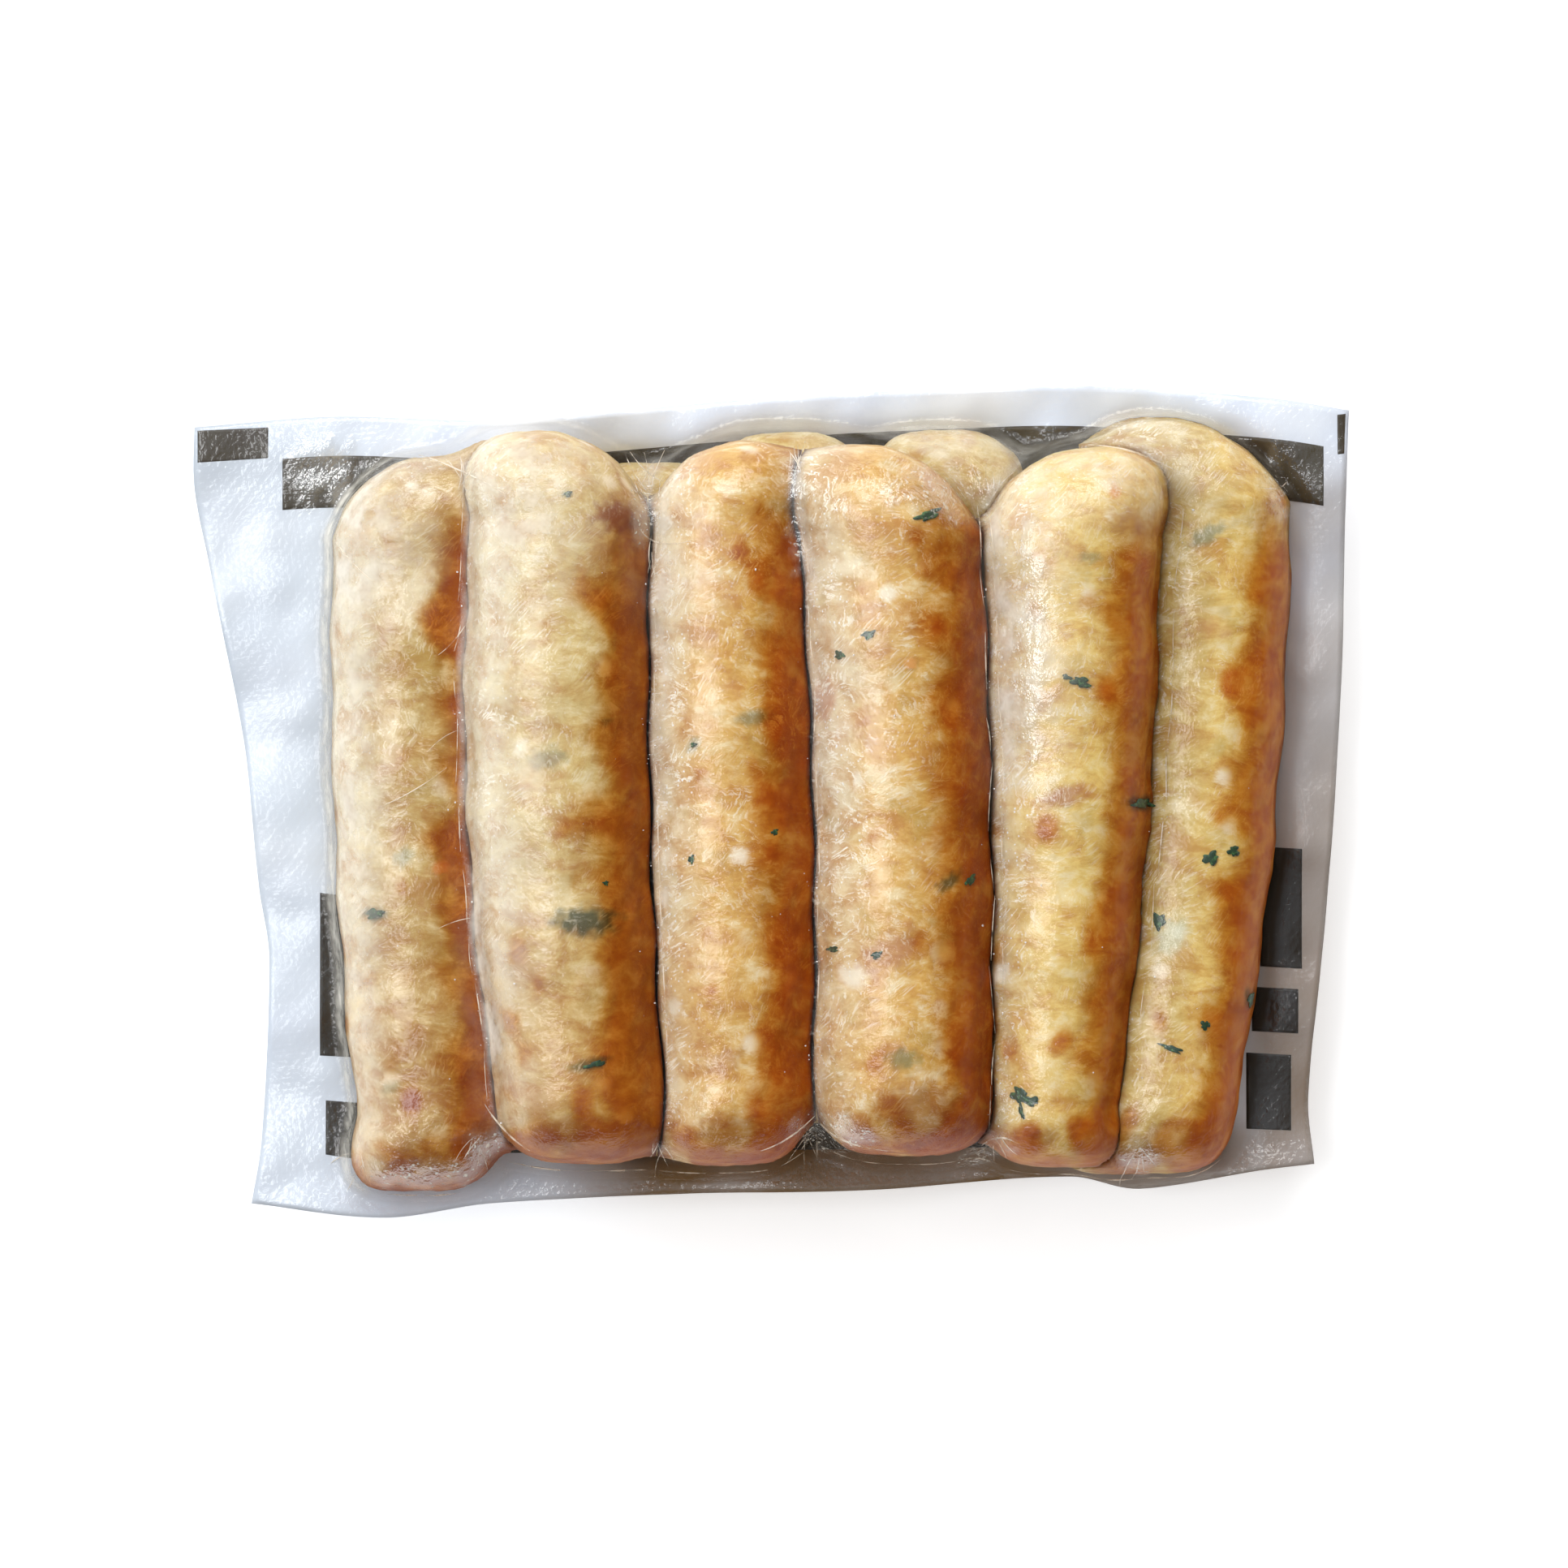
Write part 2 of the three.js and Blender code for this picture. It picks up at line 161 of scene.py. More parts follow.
def along(values, y):
    """A parabola through a sausage's three stations."""
    header, middle, tail = values
    a, b, c = STATIONS
    return (
        header * (y - b) * (y - c) / ((a - b) * (a - c))
        + middle * (y - a) * (y - c) / ((b - a) * (b - c))
        + tail * (y - a) * (y - b) / ((c - a) * (c - b))
    )


def lumpy_radius(s, y):
    return along(s.r, y) + LUMP * np.sin(2 * math.pi * y / LUMP_LENGTH + s.phase)


def under(s, x, y):
    """How far points of the plan lie from a sausage's middle line, and its radius and height there."""
    y0 = np.clip(y, s.tail + along(s.r, s.tail), s.header - along(s.r, s.header))
    radius = lumpy_radius(s, y0)
    lean = np.where(y > y0, s.lean[0], s.lean[1])
    past = np.abs(y - y0)
    across = np.abs(x - along(s.x, y0) - lean * past / radius)
    bluntness = np.where(y > y0, s.header_bluntness, TAIL_BLUNTNESS)
    away = (across**bluntness + past**bluntness) ** (1 / bluntness)
    return away, radius, along(s.z, y0)


def seal_level(x, y):
    """The height of the seal, which curls more towards its free edge."""
    inside = np.minimum(
        np.minimum(x - edge_left(y), edge_right(y) - x) / CURL_REACH[0],
        np.minimum(edge_header(x) - y, y - edge_tail(x)) / CURL_REACH[1],
    )
    free = 1 - np.clip(inside, 0, 1)
    turn = 2 * math.pi / WRINKLE_LENGTH
    curl = 0.6 * np.sin(x * turn + 0.6) + 0.7 * np.sin((y + 0.35 * x) * turn * 1.3 + 2.2)
    return SEAL_LEVEL + SEAL_TILT * x + SEAL_WAVE * curl * (0.25 + 0.75 * free)


def outside_film(seal, spots, z, side, bridge, draft):
    """How far points lie outside a film that is drawn over all the sausages, or inside it if negative.
    Without a seal the film runs straight down past the sausages."""
    nearest = side * (z - seal) if seal is not None else np.full_like(z, TALLEST)
    for away, radius, level in spots:
        beyond = side * (z - level)
        gap = np.hypot(away, np.maximum(beyond, 0)) - radius - draft * np.maximum(-beyond, 0)
        near = np.maximum(bridge - np.abs(nearest - gap), 0) / bridge
        nearest = np.minimum(nearest, gap) - near * near * bridge / 4
    return nearest


def film_height(x, y, side, bridge, draft):
    """How high a film over (side 1) or under (side -1) the sausages lies, found by halving."""
    seal = seal_level(x, y)
    spots = [under(s, x, y) for s in SAUSAGES]
    inner = seal - side
    outer = np.full_like(seal, TALLEST if side > 0 else -TALLEST)
    for _ in range(FILM_HALVINGS):
        z = (inner + outer) / 2
        out = outside_film(seal, spots, z, side, bridge, draft) > 0
        outer = np.where(out, z, outer)
        inner = np.where(out, inner, z)
    return outer


def front_surface(x, y):
    return film_height(x, y, 1, FRONT_BRIDGE, FRONT_DRAFT)


def back_surface(x, y):
    """The back film's underside, flattened where it rests."""
    return np.maximum(film_height(x, y, -1, BACK_BRIDGE, BACK_DRAFT), 0)


def ripples(x, y, length, seed, count=9):
    """Soft waves of about one length in all directions, between about -1 and 1."""
    random = np.random.default_rng(seed)
    total = 0
    for _ in range(count):
        angle, phase = random.uniform(0, 2 * math.pi, 2)
        turn = 2 * math.pi / (length * random.uniform(0.65, 1.5))
        total = total + np.sin((x * math.cos(angle) + y * math.sin(angle)) * turn + phase)
    return total / math.sqrt(count) / 1.2


def smooth_step(low, high, value):
    t = np.clip((value - low) / (high - low), 0, 1)
    return t * t * (3 - 2 * t)


def valley_lines():
    """The lines along which the clear film lies lowest between two sausages, with the outer sides."""
    reach = np.linspace(-48, 48, 13)
    lines = [lambda y: along(UPPER[0].x, y) - along(UPPER[0].r, y)]
    for left, right in zip(UPPER, UPPER[1:]):
        share = np.linspace(0, 1, 241)[:, None]
        x = along(left.x, reach) * (1 - share) + along(right.x, reach) * share
        z = front_surface(x, np.broadcast_to(reach, x.shape))
        lowest = x[np.argmin(z, axis=0), np.arange(len(reach))]
        lines.append(curve_through(list(zip(reach, lowest))))
    lines.append(lambda y: along(UPPER[-1].x, y) + along(UPPER[-1].r, y))
    return lines


VALLEYS = valley_lines()
FRONT_GRID = (248, 190)  # columns and rows of the clear film
BACK_GRID = (180, 130)
FRONT_SAMPLES = (2400, 700)  # how finely its spaces are measured along X and along Y
SMOOTHINGS = 6  # how often its rows are evened out from column to column


def evenly(lengths, count):
    """Where count + 1 places lie that share a rising length evenly, as indexes between its samples."""
    wanted = np.linspace(0, lengths[-1], count + 1)
    return np.interp(wanted, lengths, np.arange(len(lengths)))


def front_places():
    """The clear film's grid: columns run beside the valleys, and all spaces are even over the surface."""
    guides = [edge_left, *VALLEYS, edge_right]
    columns, rows = FRONT_GRID
    knots = np.array([guide(0.0) for guide in guides])
    x = np.linspace(knots[0], knots[-1], FRONT_SAMPLES[0])
    z = front_surface(x, np.zeros_like(x))
    length = np.concatenate([[0], np.cumsum(np.hypot(np.diff(x), np.diff(z)))])
    x = np.interp(evenly(length, columns), np.arange(len(x)), x)
    segment = np.clip(np.searchsorted(knots, x, side="right") - 1, 0, len(knots) - 2)
    share = (x - knots[segment]) / (knots[segment + 1] - knots[segment])

    def across(y):
        """The x of every column at that column's own y."""
        lines = np.stack([guide(y) for guide in guides])
        column = np.arange(columns + 1)
        if y.ndim == 2:
            low = np.stack([lines[segment[c], c] for c in column])
            high = np.stack([lines[segment[c] + 1, c] for c in column])
            return low + (high - low) * share[:, None]
        low, high = lines[segment, column], lines[segment + 1, column]
        return low + (high - low) * share

    ends = []
    for edge in (edge_tail, edge_header):
        y = edge(x)
        for _ in range(EDGE_ROUNDS):
            y = edge(across(y))
        ends.append(y)
    y = ends[0][:, None] + (ends[1] - ends[0])[:, None] * np.linspace(0, 1, FRONT_SAMPLES[1])
    z = front_surface(across(y), y)
    steps = np.hypot(np.diff(y, axis=1), np.diff(z, axis=1))
    length = np.concatenate([np.zeros((columns + 1, 1)), np.cumsum(steps, axis=1)], axis=1)
    samples = np.stack([evenly(one, rows) for one in length])
    for _ in range(SMOOTHINGS):
        samples[1:-1] = (samples[:-2] + 2 * samples[1:-1] + samples[2:]) / 4
    y = np.stack([np.interp(one, np.arange(len(line)), line) for one, line in zip(samples, y)])
    return across(y), y


def back_places():
    columns, rows = BACK_GRID
    u = np.linspace(0, 1, columns + 1)[:, None]
    v = np.linspace(0, 1, rows + 1)[None, :]
    x = y = np.zeros((columns + 1, rows + 1))
    for _ in range(EDGE_ROUNDS):
        y = edge_tail(x) + (edge_header(x) - edge_tail(x)) * v
        x = edge_left(y) + (edge_right(y) - edge_left(y)) * u
    return x, y


# Sizes and colours that a user would change


def colour(code):
    """An sRGB hex value as the linear colour that Blender works in."""
    parts = [int(code[i : i + 2], 16) / 255 for i in (1, 3, 5)]
    linear = [c / 12.92 if c <= 0.04045 else ((c + 0.055) / 1.055) ** 2.4 for c in parts]
    return (*linear, 1.0)


def length_property(name, text, size):
    return bpy.props.FloatProperty(name=name, description=text, default=size * MM, unit="LENGTH", precision=5)


def colour_property(name, text, code):
    return bpy.props.FloatVectorProperty(
        name=name, description=text, default=colour(code), size=4, subtype="COLOR", min=0, max=1
    )


class PackSizes(bpy.types.PropertyGroup):
    casing_inset: length_property("Casing inset", "How far a casing lies inside the clear film", 0.45)
    casing_relief: length_property("Casing relief", "Height of the meat's small lumps", 0.12)
    film: length_property("Clear film", "Thickness of the clear film", 0.12)
    back_film: length_property("Back film", "Thickness of the printed back film", 0.3)
    seal_gap: length_property("Seal gap", "Space between the two films where they are sealed", 0.3)
    margin_ripple: length_property("Margin ripple", "Height of the small ripples in the margin", 0.35)
    crease: length_property("Crease", "Radius of a crease in the clear film", 0.16)
    ink: length_property("Ink", "How far the printed fields stand on the back film", 0.05)


class PackColours(bpy.types.PropertyGroup):
    first: colour_property("First meat", "Meat of the first sausage", "#C6A768")
    pale: colour_property("Pale meat", "Fat-rich meat of the second sausage and the lower ones", "#D9BF80")
    golden: colour_property("Golden meat", "Meat of the middle sausages", "#DBAE5D")
    yellow: colour_property("Yellow meat", "Meat of the last two sausages", "#E8C875")
    # Painted sheen: the pale cream on each sausage's left side, towards the window, with some frost
    sheen_and_frost: colour_property("Hazed meat", "Meat under frost, on the left of each sausage", "#EADFC4")
    # Painted shade: the brown that darkens each sausage's right side and tail end, away from the window
    side_shade: colour_property("Soaked meat", "What juice does to the meat on each one's right", "#E8B16C")
    # Painted shade: the dark brown in the grooves between sausages and on their undersides
    groove_shade: colour_property("Juice", "Juice in the grooves between sausages", "#562610")
    pink: colour_property("Pink meat", "Streaks of lean meat", "#C98F6C")
    fat: colour_property("Fat", "Lumps of fat", "#FBF1DA")
    leaf: colour_property("Leaf", "Chopped herb leaves", "#223F29")
    film: colour_property("Back film", "White back film", "#E4ECF9")
    # Painted shade: the soft brown along the tail and right margins, where the pack shades the film
    margin_shade: colour_property("Wash", "Soft brown field along the tail and right margins", "#7F6138")
    ink: colour_property("Ink", "Printed fields", "#463F30")


# Mesh helpers


def select_only(*pieces):
    """Selects these pieces alone, and makes the first one the active one."""
    bpy.ops.object.select_all(action="DESELECT")
    for piece in pieces:
        piece.select_set(True)
    if pieces:
        bpy.context.view_layer.objects.active = pieces[0]


def add_primitive(operator, name, **settings):
    """Adds a primitive with nothing else selected, and names it."""
    select_only()
    operator(**settings)
    piece = bpy.context.active_object
    piece.name = piece.data.name = name
    return piece


def coordinates(piece):
    flat = np.empty(3 * len(piece.data.vertices))
    piece.data.vertices.foreach_get("co", flat)
    return flat.reshape(-1, 3)


def move_vertices(piece, x, y, z):
    """Puts the vertices at places given in millimetres."""
    piece.data.vertices.foreach_set("co", (np.stack([x, y, z], axis=1) * MM).ravel())
    piece.data.update()


def apply_modifier(piece, kind, **settings):
    select_only(piece)
    bpy.ops.object.modifier_add(type=kind)
    modifier = piece.modifiers[-1]
    for name, value in settings.items():
        setattr(modifier, name, value)
    bpy.ops.object.modifier_apply(modifier=modifier.name)


def finish_piece(piece, material, node):
    """Gives a piece its finish and its place in the frame, and hides the solid that it stands for."""
    piece.data.materials.clear()
    piece.data.materials.append(material)
    select_only(piece)
    bpy.ops.object.shade_smooth()
    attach(piece, "root")
    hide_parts(node)


def store(piece, name, values):
    """Keeps a value, or a colour with its strength, at every vertex for the material to read."""
    values = np.asarray(values, float)
    kind, field = ("FLOAT", "value") if values.ndim == 1 else ("FLOAT_COLOR", "color")
    attribute = piece.data.attributes.new(name, kind, "POINT")
    attribute.data.foreach_set(field, values.ravel())


def grid_piece(name, places):
    """A grid primitive whose vertices stand for the given places, and their column and row."""
    columns, rows = places[0].shape
    piece = add_primitive(
        bpy.ops.mesh.primitive_grid_add, name, x_subdivisions=columns - 1, y_subdivisions=rows - 1, size=1
    )
    flat = coordinates(piece)
    column = np.rint((flat[:, 0] + 0.5) * (columns - 1)).astype(int)
    row = np.rint((flat[:, 1] + 0.5) * (rows - 1)).astype(int)
    return piece, places[0][column, row], places[1][column, row]


def small_shape(piece):
    """The corners and faces of a small piece that is only needed as a pattern, and is removed."""
    shape = coordinates(piece), [list(face.vertices) for face in piece.data.polygons]
    bpy.data.objects.remove(piece)
    return shape


def joined_copies(name, corners, faces, copies):
    """One mesh of many copies of a small shape. Each copy is its own array of moved corners."""
    count = len(corners)
    placed = np.concatenate(copies)
    repeated = [[v + count * i for v in face] for i in range(len(copies)) for face in faces]
    mesh = bpy.data.meshes.new(name)
    mesh.from_pydata((placed * MM).tolist(), [], repeated)
    mesh.validate()
    piece = bpy.data.objects.new(name, mesh)
    bpy.context.collection.objects.link(piece)
    return piece


# Material helpers

TIMES = {"operation": "MULTIPLY"}
PLUS = {"operation": "ADD"}
SOFTLY = {"interpolation_type": "SMOOTHSTEP"}
NEAREST = {"feature": "F1"}


def add_node(material, kind, inputs=(), output=0, **settings):
    """Adds a node with its settings, and gives one of its outputs, or the node itself for None. An
    input is a value, or another node's output to link."""
    tree = material.node_tree
    made = tree.nodes.new("ShaderNode" + kind)
    for name, value in settings.items():
        setattr(made, name, value)
    for key, value in (inputs if isinstance(inputs, dict) else dict(enumerate(inputs))).items():
        if isinstance(value, bpy.types.NodeSocket):
            tree.links.new(value, made.inputs[key])
        else:
            made.inputs[key].default_value = value
    return made if output is None else made.outputs[output]


def start_finish(name):
    """An empty material of that name, add_node for it, and the piece's own coordinates."""
    material = bpy.data.materials.new(name)
    material.use_nodes = True
    material.node_tree.nodes.clear()
    add = partial(add_node, material)
    return material, add, add("TexCoord", output="Object")


def show(material, shader):
    add_node(material, "OutputMaterial", (shader,), None)
    return material


def layered(add, tone, *layers):
    """Lays colours over a tone one by one: each is its share, its colour and how it blends."""
    for share, over, how in layers:
        tone = add("Mix", {0: share, 6: tone, 7: over}, 2, data_type="RGBA", blend_type=how)
    return tone


def uneven(add, where, size, detail=3.0, rough=0.55, turn=0.0, output="Fac", kind="FBM", warp=0.0):
    """An uneven pattern with features about size millimetres across. turn moves it to another part."""
    moved = add("Mapping", {"Vector": where, "Location": (turn, turn * 0.7, turn * 1.3)})
    pattern = {"Vector": moved, "Scale": 1 / (size * MM), "Detail": detail, "Roughness": rough}
    return add("TexNoise", {**pattern, "Distortion": warp}, output, noise_type=kind)


def flecks(add, where, size, channel, wide, near, rare, often):
    """Round flecks size millimetres apart, of which only some of the cells have one."""
    cells = add("TexVoronoi", {"Vector": where, "Scale": 1 / (size * MM)}, None, **NEAREST)
    chosen = add("SeparateColor", (cells.outputs["Color"],), channel)
    dot = add("MapRange", (cells.outputs["Distance"], wide, near), **SOFTLY)
    return add("Math", (dot, add("MapRange", (chosen, rare, often), **SOFTLY)), **TIMES)


def fibres(add, where, patch, width, length, turn):
    """Short hair-like strokes. Each patch has its own direction, as frost and meat fibres have."""
    spread = {"Vector": where, "Scale": 1 / (patch * MM), "Randomness": 1.0}
    cells = add("TexVoronoi", spread, None, **NEAREST)
    local = add("VectorMath", (where, cells.outputs["Position"]), operation="SUBTRACT")
    angle = add("Math", (add("SeparateColor", (cells.outputs["Color"],)), math.pi), **TIMES)
    turned = add("VectorRotate", {"Vector": local, "Angle": angle}, rotation_type="Z_AXIS")
    finer = (1 / (length * MM), 1 / (width * MM), 1 / (length * MM))
    stretched = add("Mapping", {"Vector": turned, "Location": (turn, turn, turn), "Scale": finer})
    return add("TexNoise", {"Vector": stretched, "Scale": 1.0, "Detail": 2.0})


# Materials


def casing_material(colours):
    """Raw meat in a natural casing, filled and frozen. The eye sees blurred lumps of fat and lean
    under a thin clear skin, short pale fibres and frost strokes. Painted brown shade lies on the right
    side and towards the tail, painted dark shade lies in the grooves and underneath, and a painted sheen
    pales the left side."""
    material, add, where = start_finish("Raw sausage meat in natural casing")

    drawn = add("Mapping", {"Vector": where, "Scale": (0.62, 1.0, 0.75)})
    wisps = uneven(add, drawn, 4.6, 6, 0.7, warp=0.3)
    dark = add("MapRange", (wisps, 0.56, 0.34), **SOFTLY)
    light = add("MapRange", (wisps, 0.5, 0.68), **SOFTLY)
    hues = add("SeparateColor", (uneven(add, where, 9, 3, 0.6, 0.31, "Color"),), None).outputs
    lean = add("MapRange", (hues[0], 0.55, 0.72), **SOFTLY)
    olive = add("MapRange", (hues[1], 0.54, 0.7), **SOFTLY)
    shift = add("Math", (wisps, 5 * MM), **TIMES)
    bent = add("VectorMath", (where, shift), **PLUS)
    fat = flecks(add, bent, 6.5, 1, 0.36, 0.1, 0.74, 0.9)
    marks = add("Attribute", output=None, attribute_name="marks").outputs
    tone = layered(
        add,
        add("Attribute", output="Color", attribute_name="meat"),
        (add("Math", (dark, 0.62), **TIMES), colour("#D2A055"), "MULTIPLY"),
        (add("Math", (light, 0.62), **TIMES), colour("#F6E7BE"), "MIX"),
        (add("Math", (lean, 0.24), **TIMES), colours.pink, "MIX"),
        (add("Math", (olive, 0.4), **TIMES), colour("#B9984A"), "MIX"),
        (add("Math", (fat, 0.75), **TIMES), colours.fat, "MIX"),
        (marks["Alpha"], marks["Color"], "MIX"),
    )

    frost = add("Attribute", output="Fac", attribute_name="frost")
    strokes = add("MapRange", (fibres(add, bent, 5.5, 0.34, 3.0, 3.0), 0.54, 0.68), **SOFTLY)
    hair = add("Math", (strokes, add("MapRange", (hues[2], 0.38, 0.5), **SOFTLY)), **TIMES)
    hair = add("Math", (hair, add("Math", (frost, 0.2), **PLUS)), **TIMES)
    ice = add("Math", (flecks(add, where, 0.8, 2, 0.34, 0.14, 0.7, 0.8), frost), **TIMES)
    # Painted shade: brown on the right side and towards the tail, where less light falls
    patchy = add("MapRange", (wisps, 0.72, 0.3, 0.8, 1.1), **SOFTLY)
    side_shaded = add("Math", (add("Attribute", output="Fac", attribute_name="side_shade"), patchy), **TIMES)
    tone = layered(
        add,
        tone,
        (hair, colour("#FFF6E2"), "MIX"),
        (ice, colour("#FFFFFF"), "MIX"),
        (add("MapRange", (side_shaded, 0.0, 0.6), **SOFTLY), colour("#DDB46A"), "MULTIPLY"),
        (add("MapRange", (side_shaded, 0.3, 1.0), **SOFTLY), colours.side_shade, "MULTIPLY"),
        # Painted shade in the grooves and on the underside
        (add("Attribute", output="Fac", attribute_name="groove_shade"), colours.groove_shade, "MIX"),
    )

    height = uneven(add, where, 1.8, 3, turn=0.71)
    skin = {
        "Base Color": tone,
        "Roughness": 0.5,
        "IOR": 1.38,
        "Specular IOR Level": 0.15,
        "Subsurface Weight": 0.08,
        "Subsurface Radius": (1.0, 0.7, 0.45),
        "Subsurface Scale": 1.2 * MM,
        "Normal": add("Bump", {"Strength": 0.5, "Distance": 0.25 * MM, "Height": height}),
    }
    return show(material, add("BsdfPrincipled", skin))


def leaf_material(colours):
    """Chopped parsley, wet and frozen in: nearly black green, with paler veins."""
    material, add, where = start_finish("Chopped wet parsley")
    vein = add("MapRange", (uneven(add, where, 0.8, 2), 0.5, 0.68), **SOFTLY)
    tone = layered(add, colours.leaf, (vein, colour("#4A7343"), "MIX"))
    return show(material, add("BsdfPrincipled", {"Base Color": tone, "Roughness": 0.45, "IOR": 1.4}))


def seal_knurl(add, where):
    """The fine diagonal grid that a heated seal bar presses into the margin, 1.4 mm apart."""
    turned = add("Mapping", {"Vector": where, "Rotation": (0, 0, math.radians(38))})
    parts = add("SeparateXYZ", (turned,), None).outputs
    turns = 2 * math.pi / (1.4 * MM)
    waves = [add("Math", (add("Math", (parts[i], turns), **TIMES),), operation="SINE") for i in (0, 1)]
    grid = add("Math", waves, operation="MAXIMUM")
    return add("Math", (grid, add("Attribute", output="Fac", attribute_name="sealed")), **TIMES)


def clear_film_material():
    """Clear polyamide vacuum film, drawn on and shrunk. It is seen by its glints: broad and broken over
    the meat, sharp at its creases. Its milky white is partly frost and trapped air under it, and partly
    painted sheen on slopes towards the window and painted glints at crumples and valleys."""
    material, add, where = start_finish("Clear vacuum film")
    crinkle, shine, sheen_and_frost, sparkle, outside = (
        add("Attribute", output="Fac", attribute_name=name)
        for name in ("crinkle", "shine", "sheen_and_frost", "sparkle", "outside")
    )
    ridges = uneven(add, where, 8, 3, 0.55, 0.23, kind="RIDGED_MULTIFRACTAL")
    grain = uneven(add, where, 2.2, 3, 0.7, 0.51)
    height = add("Math", (seal_knurl(add, where), 0.05), **TIMES)
    rough = add("MapRange", (crinkle, 0.1, 0.8, 0.5, 1.1), **SOFTLY)
    for part, strength in ((ridges, crinkle), (grain, rough)):
        height = add("Math", (add("Math", (part, strength), **TIMES), height), **PLUS)
    bump = add("Bump", {"Strength": 0.8, "Distance": 0.7 * MM, "Height": height})

    clear = add("BsdfTransparent", ((0.995, 0.997, 1, 1),))
    gloss = add("BsdfGlossy", {"Color": (1, 1, 1, 1), "Roughness": 0.15, "Normal": bump})
    facing = add("LayerWeight", {"Blend": 0.5}, "Facing")
    shine = add("Math", (shine, add("MapRange", (facing, 0.55, 1.0, 1.0, 1.6), **SOFTLY)), **TIMES)
    film = add("MixShader", (shine, clear, gloss))
    cloud = add("MapRange", (uneven(add, where, 5, 3, 0.6, 0.38), 0.3, 0.7, 0.25, 1.0), **SOFTLY)
    # Painted glints: diffuse white specks where the sparkle attribute is high
    glints = add("MapRange", (uneven(add, where, 0.9, 1, 0.5, 0.77), 0.6, 0.7), **SOFTLY)
    milk_and_sheen_shares = [add("Math", pair, **TIMES) for pair in ((sheen_and_frost, cloud), (glints, sparkle))]
    # Milk: a diffuse white, partly frost and trapped air, and partly painted sheen and painted glints
    milk_and_sheen = add("BsdfDiffuse", {"Color": colour("#F8F3E6")})
    film_with_sheen = add("MixShader", (add("Math", milk_and_sheen_shares, operation="MAXIMUM"), film, milk_and_sheen))
    return show(material, add("MixShader", (outside, clear, film_with_sheen)))


def glinting_material(name, size, detail, clouded, clear_tone, white, roughness, ior):
    """A clear material with cloudy white parts that catch the light. clouded is how white it gets."""
    material, add, where = start_finish(name)
    cloudy = add("MapRange", (uneven(add, where, size, detail), 0.35, 0.65, *clouded), **SOFTLY)
    clear = add("BsdfTransparent", (clear_tone,))
    body = add("BsdfPrincipled", {"Base Color": white, "Roughness": roughness, "IOR": ior})
    return show(material, add("MixShader", (cloudy, clear, body)))


def crease_material():
    """The same film folded on itself: a cloudy warm white, painted to read as glints along the fold, with its
    own real gloss.
    """
    clear = (0.985, 0.975, 0.96, 1)
    return glinting_material("Folded clear film", 3, 2, (0.05, 0.6), clear, colour("#FFF3E0"), 0.12, 1.5)


def ice_material():
    """Grains of ice and small bubbles under the film: clear to white, each with its own spark."""
    clear = (1, 1, 1, 1)
    white = colour("#FFFFFF")
    return glinting_material("Ice grains and air bubbles", 0.8, 1, (0.25, 0.85), clear, white, 0.08, 1.31)


def back_film_material(colours):
    """White laminated film, extruded and smooth: satin, faintly blue, with a soft uneven sheen. Painted shade
    greys its left margin and browns its tail and right margins.
    """
    material, add, where = start_finish("White laminated back film")
    cloud = add("MapRange", (uneven(add, where, 30, 3), 0.35, 0.65), **SOFTLY)
    tone = layered(
        add,
        colours.film,
        (cloud, colour("#F2F6FB"), "MIX"),
        # Painted shade on the margins: grey on the left, brown along the tail and right
        (add("Attribute", output="Fac", attribute_name="shade"), colour("#CDD5DE"), "MIX"),
        (add("Attribute", output="Fac", attribute_name="margin_shade"), colours.margin_shade, "MIX"),
    )
    dents = uneven(add, where, 5, 3, 0.5, 0.29)
    soft = add("Bump", {"Strength": 0.3, "Distance": 0.4 * MM, "Height": dents})
    film = {"Base Color": tone, "Roughness": 0.34, "IOR": 1.5, "Normal": soft}
    return show(material, add("BsdfPrincipled", film))


def ink_material(colours):
    """Dark grey-brown gravure ink on the film, slightly cloudy where it is thin."""
    material, add, where = start_finish("Printed dark ink")
    cloud = add("MapRange", (uneven(add, where, 14, 4, 0.6), 0.35, 0.7), **SOFTLY)
    deep = add("Attribute", output="Fac", attribute_name="deep")
    tone = layered(add, colours.ink, (cloud, colour("#423A30"), "MIX"), (deep, colour("#1C1510"), "MIX"))
    ink = {"Base Color": tone, "Roughness": 0.36, "IOR": 1.5, "Specular IOR Level": 0.25}
    return show(material, add("BsdfPrincipled", ink))


def floor_material():
    """Matt white board, with only the faintest unevenness."""
    material, add, where = start_finish("Matt white board")
    faint = add("MapRange", (uneven(add, where, 60, 2), 0.3, 0.7), **SOFTLY)
    tone = layered(add, colour("#F6F6F6"), (faint, colour("#F8F8F8"), "MIX"))
    board = {"Base Color": tone, "Roughness": 0.9, "IOR": 1.3}
    board.update({"Emission Color": (1, 1, 1, 1), "Emission Strength": 0.4})
    return show(material, add("BsdfPrincipled", board))


# Sausages

RINGS = 200
SEGMENTS = 144
# Painted shade: the next two tables brown each sausage's right side and its tail, away from the lights
SIDE_SHADE = (1.35, 1.05, 1.0, 1.0, 0.82, 0.86, 0.4, 0.4, 0.4)  # how brown each one's right side is
TAIL_SHADE = (0.2, 0.32, 0.1, 0.05, 0.16, 0.12, 0, 0, 0)  # how much browner towards the tail
SHADED = (0, 0, 0, 0, 0, 0.25, 0, 0, 0)  # how much darker the meat is beside a higher neighbour
FROSTED = (0.5, 0.8, 1, 1, 1, 0.8, 0.3, 0.3, 0.3)  # how much frost shows on each one's skin
